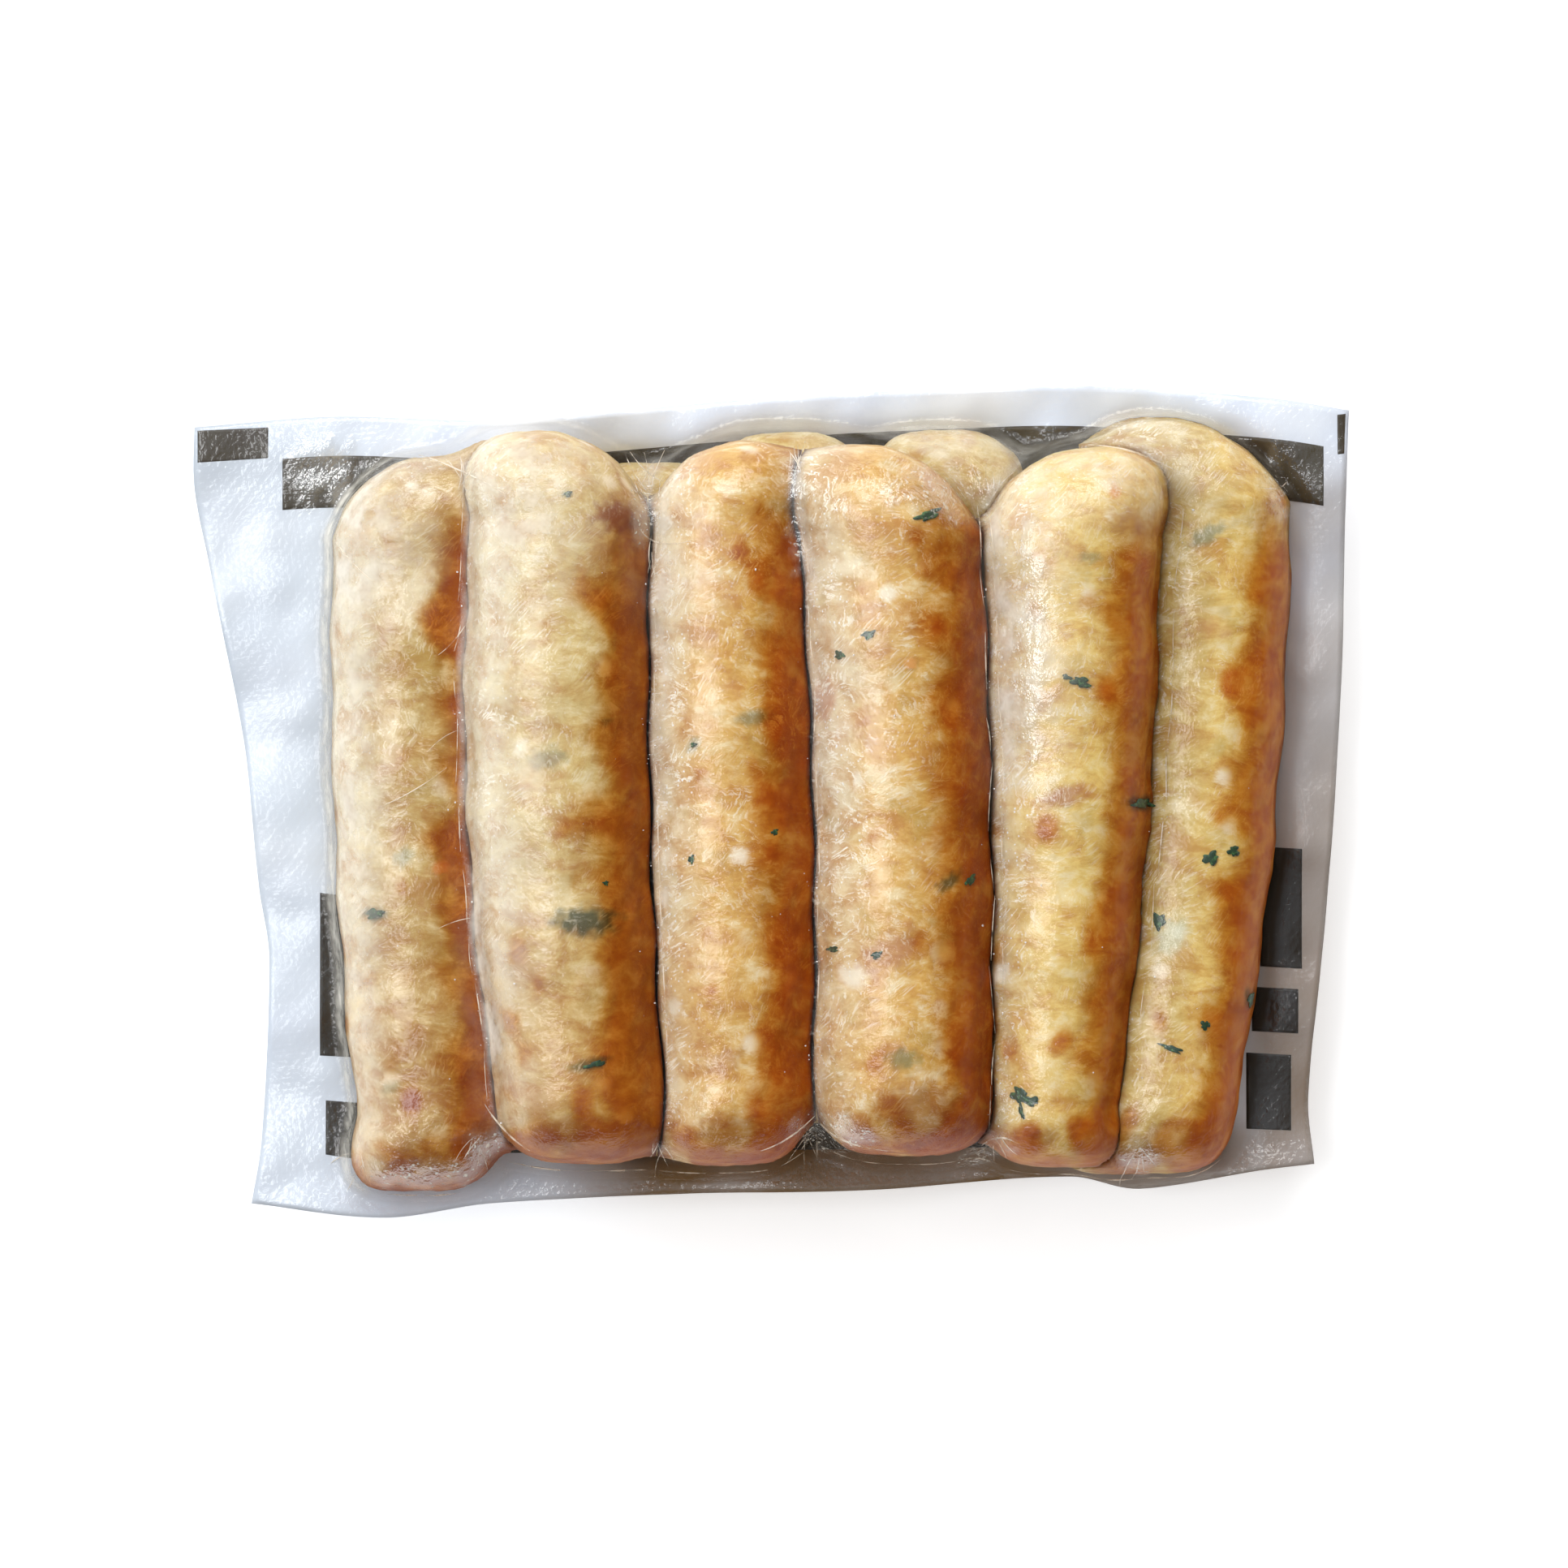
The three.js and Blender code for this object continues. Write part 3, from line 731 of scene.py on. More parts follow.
# Painted sheen: how far each sausage's left side is paled towards the window
LEFT_SHEEN = (1, 1, 0.9, 0.9, 0.75, 0.15, 0.3, 0.3, 0.3)  # how pale each one's left side is
MEAT = ("first", "pale", "golden", "golden", "yellow", "yellow", "pale", "pale", "pale")
MOST_BULGE = 4.0  # how far pressed meat may stand out past the sausage's round form
GROOVE = 0.16  # the gap that is left between two sausages
RAY_REACH = (0.4, 1.5)  # how far in and out the meat may move, as shares of its round form
CLEARANCE = 0.25  # how far meat stays above the back film
GROOVE_SHADE_REACH = 0.9  # how far the painted shade shows beside a groove
BROWN_EDGE = (0.08, 0.86)  # how far to the right the brown starts, and where it is full
HEADER_FADE = (36, 58)  # between which y the brown fades towards the header
TAIL_FADE = (10, -50)  # between which y the meat gets browner towards the tail
FROST_FADE = (5, -40)  # between which y frost and the painted sheen get less towards the tail
# How dark the painted shade is in the groove at each sausage's left, and at the right of the last
GROOVE_SHADE = (0, 0.25, 1, 1, 0.95, 0.55, 0)

# Soft marks under the casing: sausage number, x and y in mm, half length and half width in mm,
# turn in degrees, colour and strength
MARKS = [
    (1, -69.0, -19.5, 2.2, 1.0, 0, "#1F4A44", 0.85),
    (1, -64.0, -9.5, 2.0, 1.6, 30, "#5F7568", 0.45),
    (1, -57.6, -11.4, 1.6, 1.2, 0, "#D98743", 0.7),
    (1, -66.3, -49.6, 1.6, 1.0, 20, "#6F7D5A", 0.4),
    (1, -62.0, 36.0, 6.0, 3.0, 70, "#F8EBCB", 0.5),
    (2, -35.3, 53.1, 0.8, 0.6, 0, "#4E6A36", 0.8),
    (2, -38.6, 7.5, 3.6, 2.0, 10, "#6E7A62", 0.5),
    (2, -32.2, -20.6, 5.8, 2.6, 0, "#33463B", 0.85),
    (2, -31.5, -45.3, 3.8, 1.0, 12, "#3F4F38", 0.75),
    (2, -26.5, 49.4, 3.0, 4.4, 75, "#8A3B1E", 0.85),
    (2, -28.6, 14.0, 1.0, 0.7, 0, "#5A5B30", 0.5),
    (3, -3.1, 14.6, 3.2, 1.4, 10, "#59624B", 0.6),
    (3, -13.6, 10.0, 1.6, 1.0, 40, "#6B7048", 0.5),
    (3, -8.5, -45.0, 4.0, 2.2, 20, "#8F4B2C", 0.4),
    # The brown marks near y = -57 on the second to fifth sausages darken their tail ends
    (2, -36.5, -57.5, 5.5, 3.0, 10, "#A0602C", 0.55),
    (3, -7.0, -57.0, 6.5, 3.0, 0, "#9C6226", 0.5),
    (4, 26.0, -53.5, 7.0, 6.0, 0, "#96583A", 0.5),
    (4, 9.0, 18.0, 4.0, 2.2, 80, "#C98B74", 0.5),
    (4, 23.8, 23.9, 1.3, 1.0, 0, "#DE9A58", 0.7),
    (4, 30.6, -13.8, 2.6, 1.1, 35, "#33402E", 0.75),
    (4, 22.5, -44.3, 2.8, 1.8, 0, "#65724F", 0.6),
    (4, 29.6, -25.8, 2.1, 2.1, 0, "#F8EBCB", 0.85),
    (4, 14.0, -30.1, 2.6, 2.2, 0, "#FAEFD8", 0.8),
    (4, 13.3, 40.9, 2.2, 2.2, 0, "#F8EBCB", 0.7),
    (4, 20.0, -26.0, 5.2, 3.0, 20, "#B47A62", 0.5),
    (5, 59.4, 53.7, 1.1, 1.3, 0, "#E08A3C", 0.7),
    (5, 55.2, 42.3, 2.4, 1.0, 0, "#7A8460", 0.45),
    (5, 50.9, 1.1, 4.6, 1.8, 15, "#A0503A", 0.62),
    (5, 64.4, -0.2, 3.4, 1.4, 0, "#2C352A", 0.8),
    (5, 39.8, -29.7, 1.7, 1.7, 0, "#FBF3E0", 0.9),
    (5, 47.0, -58.0, 2.6, 1.6, 0, "#8F5A33", 0.5),
    (6, 75.8, 46.6, 3.4, 1.6, 30, "#5C6F5E", 0.6),
    (6, 69.5, -23.5, 4.0, 2.6, 60, "#C9D0B4", 0.6),
    (6, 83.6, -34.4, 1.2, 1.8, 0, "#4A5236", 0.7),
    (6, 68.6, -58.5, 3.0, 2.2, 0, "#F4E6C6", 0.7),
    (6, 72.9, -62.0, 2.6, 2.0, 0, "#F6EBD0", 0.7),
]


def mark_colours(number, x, y):
    """The soft marks of one sausage as a colour and its strength at each place."""
    mixed = np.zeros((len(x), 4))
    for i, (of, cx, cy, long, wide, turn, code, strength) in enumerate(MARKS):
        if of != number:
            continue
        a = math.radians(turn)
        u = ((x - cx) * math.cos(a) + (y - cy) * math.sin(a)) / long
        v = ((y - cy) * math.cos(a) - (x - cx) * math.sin(a)) / wide
        distance = np.hypot(u, v) + 0.22 * ripples(x, y, 2.2, 40 + i)
        weight = strength * smooth_step(1.35, 0.45, distance)[:, None]
        mixed[:, :3] = mixed[:, :3] * (1 - weight) + np.array(colour(code)[:3]) * weight
        mixed[:, 3:] = mixed[:, 3:] + weight * (1 - mixed[:, 3:])
    share = np.maximum(mixed[:, 3:], 1e-6)
    mixed[:, :3] /= share
    return mixed


def own_distance(spot, z):
    """How far points lie outside a sausage's own round form."""
    away, radius, level = spot
    return np.hypot(away, z - level) - radius


def fill_film(index, centre, skin, inset):
    """Moves a sausage's skin along rays from its middle line until it fills the film as pressed meat
    does: up to the film, and up to a thin groove against each neighbour."""
    near, far = (np.full(len(skin), reach) for reach in RAY_REACH)
    ray = skin - centre
    down = smooth_step(-0.25, -0.9, ray[:, 2] / np.linalg.norm(ray, axis=1))
    bulge = (MOST_BULGE if index < len(UPPER) else 0) * (1 - down) - 0.2 * down
    for _ in range(MEAT_HALVINGS):
        t = (near + far) / 2
        x, y, z = (centre + ray * t[:, None]).T
        spots = [under(s, x, y) for s in SAUSAGES]
        film = outside_film(None, spots, z, 1, FRONT_BRIDGE, FRONT_DRAFT) + inset
        distances = [own_distance(spot, z) for spot in spots]
        own = distances.pop(index)
        out = np.max([film, own - np.min(distances, axis=0) + GROOVE, own - bulge], axis=0) > 0
        near, far = np.where(out, near, t), np.where(out, t, far)
    return centre + ray * near[:, None]


def round_form(s, unit):
    """Points of a sausage's middle line and of its round skin, for the points of a sphere whose rings
    are spread along it."""
    turn = np.arctan2(unit[:, 1], unit[:, 0])
    header_r = along(s.r, s.header)
    tail_r = along(s.r, s.tail)
    header_end = math.pi / 2 * header_r
    tail_start = header_end + s.header - header_r - s.tail - tail_r
    length = np.arccos(np.clip(unit[:, 2], -1, 1)) / math.pi * (tail_start + math.pi / 2 * tail_r)
    bend = np.where(
        length < header_end, math.pi / 2 - length / header_r, np.maximum(length - tail_start, 0) / tail_r
    )
    y0 = np.clip(s.header - header_r - (length - header_end), s.tail + tail_r, s.header - header_r)
    side = np.where(length < header_end, 1, -1)
    radius = lumpy_radius(s, y0)
    past = radius * np.sin(bend)
    bluntness = np.where(side > 0, s.header_bluntness, TAIL_BLUNTNESS)
    wide = (np.maximum(radius**bluntness - past**bluntness, 0)) ** (1 / bluntness)
    tall = radius * np.cos(bend)
    reach = 1 / np.hypot(np.cos(turn) / np.maximum(wide, 1e-4), np.sin(turn) / np.maximum(tall, 1e-4))
    lean = np.where(side > 0, s.lean[0], s.lean[1])
    centre = np.stack([along(s.x, y0), y0, along(s.z, y0)], axis=1)
    skin = np.stack([lean * past / radius + reach * np.cos(turn), side * past, reach * np.sin(turn)], axis=1)
    return centre, centre + skin


def meat_colours(number, across, y, soft, colours):
    """The meat's tone, with a painted sheen that makes its left side pale, and painted shade beside a higher
    neighbour.
    """
    i = number - 1
    middle = np.array(getattr(colours, MEAT[i]))
    # Painted sheen: the left side is paled, less towards the tail
    kept = 1 - 0.6 * smooth_step(*FROST_FADE, y) if number > 2 else np.ones_like(y)
    pale = (smooth_step(-0.25, -0.85, across + 0.1 * soft) * kept)[:, None] * 0.8 * LEFT_SHEEN[i]
    shade = 1 - SHADED[i] * smooth_step(0.3, -0.3, across)[:, None]
    return (middle * (1 - pale) + np.array(colours.sheen_and_frost) * pale) * shade


def colour_sausage(piece, number, place, outward, colours):
    """Stores how much painted shade, frost and marks a sausage has: brown on its right and tail, dark in the
    grooves. outward points from its middle line.
    """
    x, y, z = place
    i = number - 1
    across = outward[:, 0]
    soft = ripples(x, y, 15, 21)
    distances = [own_distance(under(other, x, y), z) for other in SAUSAGES]
    own = distances.pop(i)
    # Painted shade: dark brown in the thin groove against each neighbour
    gap = (np.min(distances, axis=0) - own - GROOVE) / (GROOVE_SHADE_REACH + 0.35 * ripples(x, y, 9, 33))
    groove = np.maximum(np.exp(-(gap**2)), 0.5 * np.exp(-((gap / 2.6) ** 2)))
    patchy = 0.35 * ripples(x, y, 7, 52) + 0.2 * soft
    tail = 0.7 * smooth_step(0.1, 1.0, patchy - outward[:, 1])
    if number > UPPER_COUNT:
        tail = 0
    else:
        groove = groove * np.where(across < 0, GROOVE_SHADE[i], GROOVE_SHADE[number])
    # Painted shade on the underside of each sausage
    deep = smooth_step(0.0, -0.6, outward[:, 2])
    # Painted shade: brown grows on the right side, towards the tail and on the tail end, and fades towards
    # the lit header
    fade = 1 - 0.75 * smooth_step(*HEADER_FADE, y + 3 * soft)
    brown = smooth_step(*BROWN_EDGE, across + 0.16 * soft) * fade
    brown = (brown + TAIL_SHADE[i] * smooth_step(*TAIL_FADE, y)) * SIDE_SHADE[i] + tail
    frost = np.clip(0.2 + 0.75 * smooth_step(-0.3, -0.75, across) + 0.2 * soft, 0, 1)
    store(piece, "meat", meat_colours(number, across, y, soft, colours))
    store(piece, "marks", mark_colours(number, x, y))
    store(piece, "groove_shade", np.clip(groove + 0.15 * deep, 0, 1))
    store(piece, "side_shade", np.clip(brown, 0, 1))
    store(piece, "frost", frost * FROSTED[i] * (1 - 0.4 * smooth_step(*FROST_FADE, y)))


def add_sausage(number, s, sizes, colours, material):
    """Adds a sausage: a sphere drawn out to its round form, and then pressed out into the film."""
    coarse = 1 if s in UPPER else 2
    piece = add_primitive(
        bpy.ops.mesh.primitive_uv_sphere_add,
        s.name,
        segments=SEGMENTS // coarse,
        ring_count=RINGS // coarse,
        radius=1,
    )
    centre, skin = round_form(s, coordinates(piece))
    filled = fill_film(number - 1, centre, skin, sizes.casing_inset / MM)
    x, y, z = filled.T
    relief = sizes.casing_relief / MM * (ripples(x, y, 9, 3) + 0.6 * ripples(x, y + z, 4, 4) - 1)
    outward = (filled - centre) / np.linalg.norm(filled - centre, axis=1)[:, None]
    x, y, z = (filled + outward * relief[:, None]).T
    lowest = back_surface(x, y) + sizes.back_film / MM + CLEARANCE
    move_vertices(piece, x, y, np.maximum(z, lowest))
    colour_sausage(piece, number, (x, y, z), outward, colours)
    finish_piece(piece, material, "filled_front_film")


class SAUSAGEPACK_OT_sausages(bpy.types.Operator):
    """Add the six sausages that show and the three of the lower layer whose ends show"""

    bl_idname = "sausagepack.sausages"
    bl_label = "Sausages"

    def execute(self, context):
        scene = context.scene
        material = casing_material(scene.pack_colours)
        for number, s in enumerate(SAUSAGES, 1):
            add_sausage(number, s, scene.pack_sizes, scene.pack_colours, material)
        return {"FINISHED"}


def casing_top(s, x, y, inset):
    """The height of a sausage's upper side over places of the plan."""
    away, radius, level = under(s, x, y)
    radius = radius - inset
    return level + np.sqrt(np.maximum(radius**2 - away**2, 0))


# Herb leaves: sausage number, x, y, half length and half width in mm, turn in degrees
LEAVES = [
    (1, -69.1, -19.4, 1.5, 0.8, 5),
    (2, -35.2, 53.2, 0.6, 0.5, 30),
    (2, -30.6, -45.3, 2.0, 0.45, 14),
    (2, -28.7, -14.0, 0.45, 0.4, 0),
    (3, 0.5, -5.2, 0.6, 0.5, 40),
    (3, -14.0, -9.9, 0.7, 0.5, 80),
    (3, -13.6, 9.9, 0.5, 0.4, 10),
    (4, 27.0, 49.6, 2.2, 0.8, 20),
    (4, 16.6, 28.9, 1.1, 0.7, 15),
    (4, 11.6, 25.4, 0.7, 0.8, 70),
    (4, 10.4, -25.5, 0.9, 0.5, 0),
    (4, 18.0, -26.4, 0.9, 0.6, 25),
    (4, 34.4, -13.5, 1.1, 0.6, 45),
    (5, 53.4, 20.7, 1.7, 0.9, -14),
    (5, 51.0, 21.6, 0.9, 0.4, -20),
    (5, 39.2, 1.8, 0.8, 0.7, 50),
    (5, 64.6, -0.3, 1.8, 0.8, 0),
    (5, 43.0, -51.0, 1.7, 1.2, -35),
    (5, 44.8, -51.8, 1.4, 0.8, -8),
    (5, 43.2, -53.6, 0.35, 1.5, 12),
    (6, 76.4, -9.8, 1.4, 1.1, 20),
    (6, 80.5, -8.6, 1.0, 0.9, 0),
    (6, 67.3, -20.7, 1.1, 1.4, 20),
    (6, 75.4, -38.9, 0.8, 0.8, 0),
    (6, 69.5, -42.9, 2.0, 0.5, -18),
    (6, 83.8, -34.6, 0.5, 1.2, -10),
]
LEAF_CORNERS = 16
LEAF_LOBES = ((3, 0.2), (5, 0.16), (8, 0.1))  # how many lobes a leaf's edge has, and how deep they are


class SAUSAGEPACK_OT_leaves(bpy.types.Operator):
    """Add the chopped herb leaves that lie on the casings, under the film"""

    bl_idname = "sausagepack.leaves"
    bl_label = "Herb leaves"

    def execute(self, context):
        inset = context.scene.pack_sizes.casing_inset / MM
        disc = add_primitive(
            bpy.ops.mesh.primitive_circle_add, "leaf", vertices=LEAF_CORNERS, radius=1, fill_type="TRIFAN"
        )
        apply_modifier(disc, "SUBSURF", subdivision_type="SIMPLE", levels=1, render_levels=1)
        flat, faces = small_shape(disc)
        random = np.random.default_rng(12)
        copies = []
        for number, x, y, long, wide, turn in LEAVES:
            s = SAUSAGES[number - 1]
            angle = np.arctan2(flat[:, 1], flat[:, 0])
            ragged = 1
            for lobes, depth in LEAF_LOBES:
                ragged = ragged + depth * np.sin(lobes * angle + random.uniform(0, 6))
            a = math.radians(turn)
            u, v = flat[:, 0] * ragged * long, flat[:, 1] * ragged * wide
            px = x + u * math.cos(a) - v * math.sin(a)
            py = y + u * math.sin(a) + v * math.cos(a)
            dome = 0.06 * (1 - np.hypot(flat[:, 0], flat[:, 1]) ** 2)
            copies.append(np.stack([px, py, casing_top(s, px, py, inset) + 0.1 + dome], axis=1))
        leaves = joined_copies("herb_leaves", flat, faces, copies)
        apply_modifier(leaves, "SOLIDIFY", thickness=0.12 * MM, offset=-1)
        finish_piece(leaves, leaf_material(context.scene.pack_colours), "filled_front_film")
        return {"FINISHED"}


# Clear film

# Milky white along a valley, partly frost and partly painted sheen: which valley, from y to y, how far to its
# right, half width, strength
VALLEY_SHEEN_AND_FROST = [
    (1, 60, -2, 1.2, 1.1, 0.25),
    (1, -12, -45, 1.8, 1.4, 0.5),
    (2, 56, 10, 1.8, 1.6, 0.25),
    (2, 10, -60, 1.4, 0.9, 0.12),
    (3, 57, 36, 1.4, 1.0, 0.3),
    (3, 36, -60, 1.3, 0.8, 0.12),
    (4, 52, 2, 2.2, 1.8, 0.35),
    (4, 2, -60, 1.3, 0.9, 0.12),
    (5, 56, -60, 1.2, 1.0, 0.1),
]

# Crumpled places that glint, by their raised relief and by painted glints of milky white: x, y, half length
# along X and along Y in mm, strength
CRUMPLES = [
    (-79.0, 58.0, 7.0, 6.0, 1.0),
    (-22.5, 52.0, 2.2, 8.0, 0.8),
    (4.2, 51.0, 1.8, 10.0, 0.8),
    (29.0, 54.0, 10.0, 6.0, 0.6),
    (44.0, 26.0, 4.5, 23.0, 0.7),
    (-50.5, -60.5, 4.0, 4.0, 0.9),
    (10.5, -58.0, 7.5, 4.0, 1.0),
    (36.0, -61.5, 4.5, 2.5, 0.8),
    (64.0, -62.0, 3.5, 4.0, 0.8),
    (-61.0, -65.0, 13.0, 3.0, 0.8),
    (88.5, 55.0, 2.5, 7.0, 0.6),
    (-66.0, 58.0, 12.0, 3.0, 0.5),
]

# Places where the film is milky, partly frost and partly painted sheen: x, y, half length along X and along Y
# in mm, strength
MISTS_AND_SHEEN = [
    (-75.0, 0.0, 7.5, 75.0, 0.42),
    (-69.0, 48.0, 11.0, 16.0, 0.36),
    (-40.0, 54.0, 11.0, 18.0, 0.36),
    (-46.0, 5.0, 8.0, 60.0, 0.25),
    (-16.0, 45.0, 9.0, 16.0, 0.2),
    (14.0, 30.0, 8.0, 30.0, 0.12),
    (45.0, 30.0, 9.0, 30.0, 0.3),
    (62.0, 60.0, 20.0, 12.0, 0.3),
    (28.0, 64.0, 12.0, 5.0, 0.25),
]
CRUMPLE_HEIGHT = 0.3
SLOPE_STEP = 0.5  # how far to each side a slope is measured
SHINE = 0.045  # the share of light that the film throws back


def crumple_share(x, y):
    share = np.zeros(len(x))
    for i, (cx, cy, half_x, half_y, strength) in enumerate(CRUMPLES):
        distance = np.hypot((x - cx) / half_x, (y - cy) / half_y) + 0.3 * ripples(x, y, 5, 60 + i)
        share = np.maximum(share, strength * smooth_step(1.2, 0.4, distance))
    return share


def film_sheen_and_frost(x, y, slope):
    """Milky white on the slopes that face left, at the given places and along parts of the valleys: partly
    frost, and partly painted sheen towards the window.
    """
    sheen_and_frost = smooth_step(-0.2, 1.6, slope) * (0.1 + 0.05 * ripples(x, y, 24, 8)) * smooth_step(75, 55, x)
    for cx, cy, half_x, half_y, strength in MISTS_AND_SHEEN:
        sheen_and_frost = sheen_and_frost + strength * smooth_step(1.5, 0.2, np.hypot((x - cx) / half_x, (y - cy) / half_y))
    for valley, header, tail, beside, half, strength in VALLEY_SHEEN_AND_FROST:
        along_it = smooth_step(header + 4, header - 4, y) * smooth_step(tail - 4, tail + 4, y)
        distance = (x - VALLEYS[valley](y) - beside) / half
        sheen_and_frost = sheen_and_frost + strength * along_it * np.exp(-distance * distance)
    return np.clip(sheen_and_frost, 0.0, 0.9)


def film_rise(x, y):
    """How far the clear film stands above the seal."""
    return front_surface(x, y) - seal_level(x, y)


def margin_share(rise):
    """1 in the flat margin and 0 over the sausages."""
    return smooth_step(3.0, 0.6, rise)


def margin_ripple(sizes, margin, x, y):
    return sizes.margin_ripple / MM * margin * (0.5 + 0.5 * ripples(x, y, 11, 5))


def beside_valleys(valleys, x, y, beside, half):
    """1 along some valleys, at a distance to their right, and 0 away from them."""
    return np.max([np.exp(-(((x - line(y) - beside) / half) ** 2)) for line in valleys], axis=0)


def film_looks(x, y, rise, margin, crumple):
    """How crinkled, milky, shiny and sparkling the film is at each place, by the attributes' names. The milk
    and sparkle are partly painted sheen and painted glints.
    """
    before, after = (front_surface(x + step, y) for step in (-SLOPE_STEP, SLOPE_STEP))
    slope = after - before
    steep = np.hypot(slope, front_surface(x, y + SLOPE_STEP) - front_surface(x, y - SLOPE_STEP))
    ends = smooth_step(46, 60, np.abs(y))
    valley = beside_valleys(VALLEYS[1:-1], x, y, 0, 2.2)
    crinkle = (0.12 + 0.55 * ends + 0.3 * valley) * (1 - margin) + 0.35 * margin + 0.6 * crumple

    skirt = smooth_step(0.8, 3.0, rise) * smooth_step(14.0, 5.0, rise)
    # Painted sheen and light: milky white on slopes towards the window, on the skirt more towards the header,
    # and over the shaded foot of the first sausage's left wall
    sheen_and_frost = film_sheen_and_frost(x, y, slope) * (1 - margin) + 0.12 * crumple
    sheen_and_frost = sheen_and_frost + (0.03 + 0.1 * smooth_step(-20, 40, y)) * skirt
    dark_line = beside_valleys(VALLEYS[1:-1], x, y, 0, 0.9) * (1 - ends)
    sheen_and_frost = sheen_and_frost * (1 - 0.75 * smooth_step(2, 5, steep)) * (1 - 0.85 * dark_line)
    sheen_and_frost = sheen_and_frost + 0.4 * skirt * smooth_step(-70, -75, x)

    dull = 0.85 * np.clip(1.6 * valley - 0.6, 0, 1) * (1 - ends)
    wet = (0.25 + 0.75 * smooth_step(-0.9, 0.1, slope)) * (1 - dull)
    wall = smooth_step(1.2, 3.0, steep) * smooth_step(-30, -50, y)
    shaded = 1 - 0.75 * smooth_step(40, 88, x)
    shine = (SHINE + 0.02 * ends) * np.maximum(wet * (1 - 0.8 * wall), margin * shaded)
    # Painted glints beside the valleys and at the crumples
    sparkle = 0.5 * beside_valleys(VALLEYS[2:5], x, y, 1.3, 0.9) * smooth_step(60, 52, np.abs(y))
    return {
        "crinkle": np.clip(crinkle, 0, 1.3),
        "sheen_and_frost": sheen_and_frost,
        "shine": shine + 0.2 * crumple * (1 - 0.6 * wall),
        "sealed": margin,
        "sparkle": 0.8 * np.clip(crumple + sparkle, 0, 1) * (1 - margin),
    }


class SAUSAGEPACK_OT_clear_film(bpy.types.Operator):
    """Add the clear film, drawn over the sausages and sealed round the edge"""

    bl_idname = "sausagepack.clear_film"
    bl_label = "Clear film"

    def execute(self, context):
        sizes = context.scene.pack_sizes
        piece, x, y = grid_piece("clear_film", front_places())
        rise = film_rise(x, y)
        margin = margin_share(rise)
        lowest = back_surface(x, y) + (sizes.back_film + sizes.seal_gap) / MM
        lowest = lowest + margin_ripple(sizes, margin, x, y)
        z = np.maximum(front_surface(x, y) * (1 - margin) + lowest * margin, lowest)
        crumple = crumple_share(x, y)
        move_vertices(piece, x, y, z + CRUMPLE_HEIGHT * crumple * (1 + ripples(x, y, 5.5, 91)))
        for name, values in film_looks(x, y, rise, margin, crumple).items():
            store(piece, name, values)
        apply_modifier(piece, "SOLIDIFY", thickness=sizes.film, offset=-1)
        outside = np.zeros(len(piece.data.vertices))
        outside[: len(x)] = 1
        store(piece, "outside", outside)
        finish_piece(piece, clear_film_material(), "filled_front_film")
        return {"FINISHED"}


# Creases in the clear film: start, middle and end in the plan, and how thick
CREASES = [
    ((-62.0, 60.8), (-55.0, 58.5), (-45.7, 53.0), 1.0),
    ((-76.9, 46.6), (-74.0, 42.0), (-69.0, 38.0), 0.8),
    ((55.2, 62.5), (64.0, 61.5), (71.5, 57.2), 1.2),
    ((85.0, 55.1), (89.0, 54.0), (90.7, 56.5), 0.9),
    ((-22.9, 47.3), (-20.5, 43.5), (-14.0, 45.2), 1.0),
    ((-52.0, 33.0), (-54.5, 28.0), (-58.0, 25.5), 0.6),
    ((-68.5, -1.0), (-62.0, 1.5), (-56.5, 6.0), 0.7),
    ((-60.0, 8.5), (-57.5, 11.5), (-54.5, 12.5), 0.6),
    ((-58.0, -22.0), (-55.0, -20.5), (-52.5, -20.2), 0.6),
    ((-50.0, -52.5), (-47.0, -57.5), (-42.0, -60.5), 1.2),
    ((8.0, -55.5), (11.0, -59.5), (20.0, -60.5), 1.2),
    ((36.5, -60.0), (39.0, -57.0), (43.0, -59.5), 1.2),
    ((-2.0, -60.5), (3.0, -59.0), (7.5, -54.5), 1.0),
    ((-25.0, 61.5), (-22.0, 57.0), (-19.0, 56.0), 0.9),
]
# Fans of small pleats: x, y, direction and spread in degrees, how many, length in mm
FANS = [
    (-52.0, -58.0, -95, 90, 6, 8),
    (-20.0, -59.5, -90, 80, 5, 6),
    (6.5, -57.0, -80, 110, 7, 8),
    (38.5, -58.5, -90, 100, 6, 7),
    (64.0, -60.0, -80, 80, 5, 7),
    (-54.0, 55.0, 100, 80, 5, 7),
    (-22.0, 54.0, 90, 70, 6, 9),
    (4.0, 57.5, 95, 60, 5, 7),
    (38.0, 54.0, 80, 80, 6, 8),
    (-78.0, 56.0, 120, 150, 8, 9),
    (-72.0, -62.0, -110, 90, 6, 8),
    (44.0, 30.0, 70, 60, 6, 6),
    (-21.0, 40.0, 80, 40, 4, 6),
]
# Creases along the valleys: which valley, from y to y, how far to its right in mm
VALLEY_CREASES = [
    (1, 57, -52, 0.2), (2, 56, -40, 0.9), (3, 58, -30, 1.0),
    (4, 52, -56, -0.9), (4, 50, -30, 1.2), (5, 52, -40, 0.3),
]
CREASE_STEPS = 18
FOOT_RISE = 4.5  # how far above the seal the crease at the foot of the tail ends runs, in mm
FOOT_REACH = (-76.0, 82)  # from and to which x it runs
FOOT_JUMP = 4  # a step along Y that is too big for one crease


def valley_creases():
    """Broken thin creases that run along the valleys between the sausages."""
    random = np.random.default_rng(17)
    made = []
    for valley, header, tail, beside in VALLEY_CREASES:
        y = header
        while y > tail:
            end = y - random.uniform(5, 13)
            ys = (y, (y + end) / 2, end)
            xs = [VALLEYS[valley](v) + beside + random.uniform(-0.35, 0.35) for v in ys]
            made.append((*zip(xs, ys), random.uniform(0.4, 0.9)))
            y = end - random.uniform(0, 5)
    return made


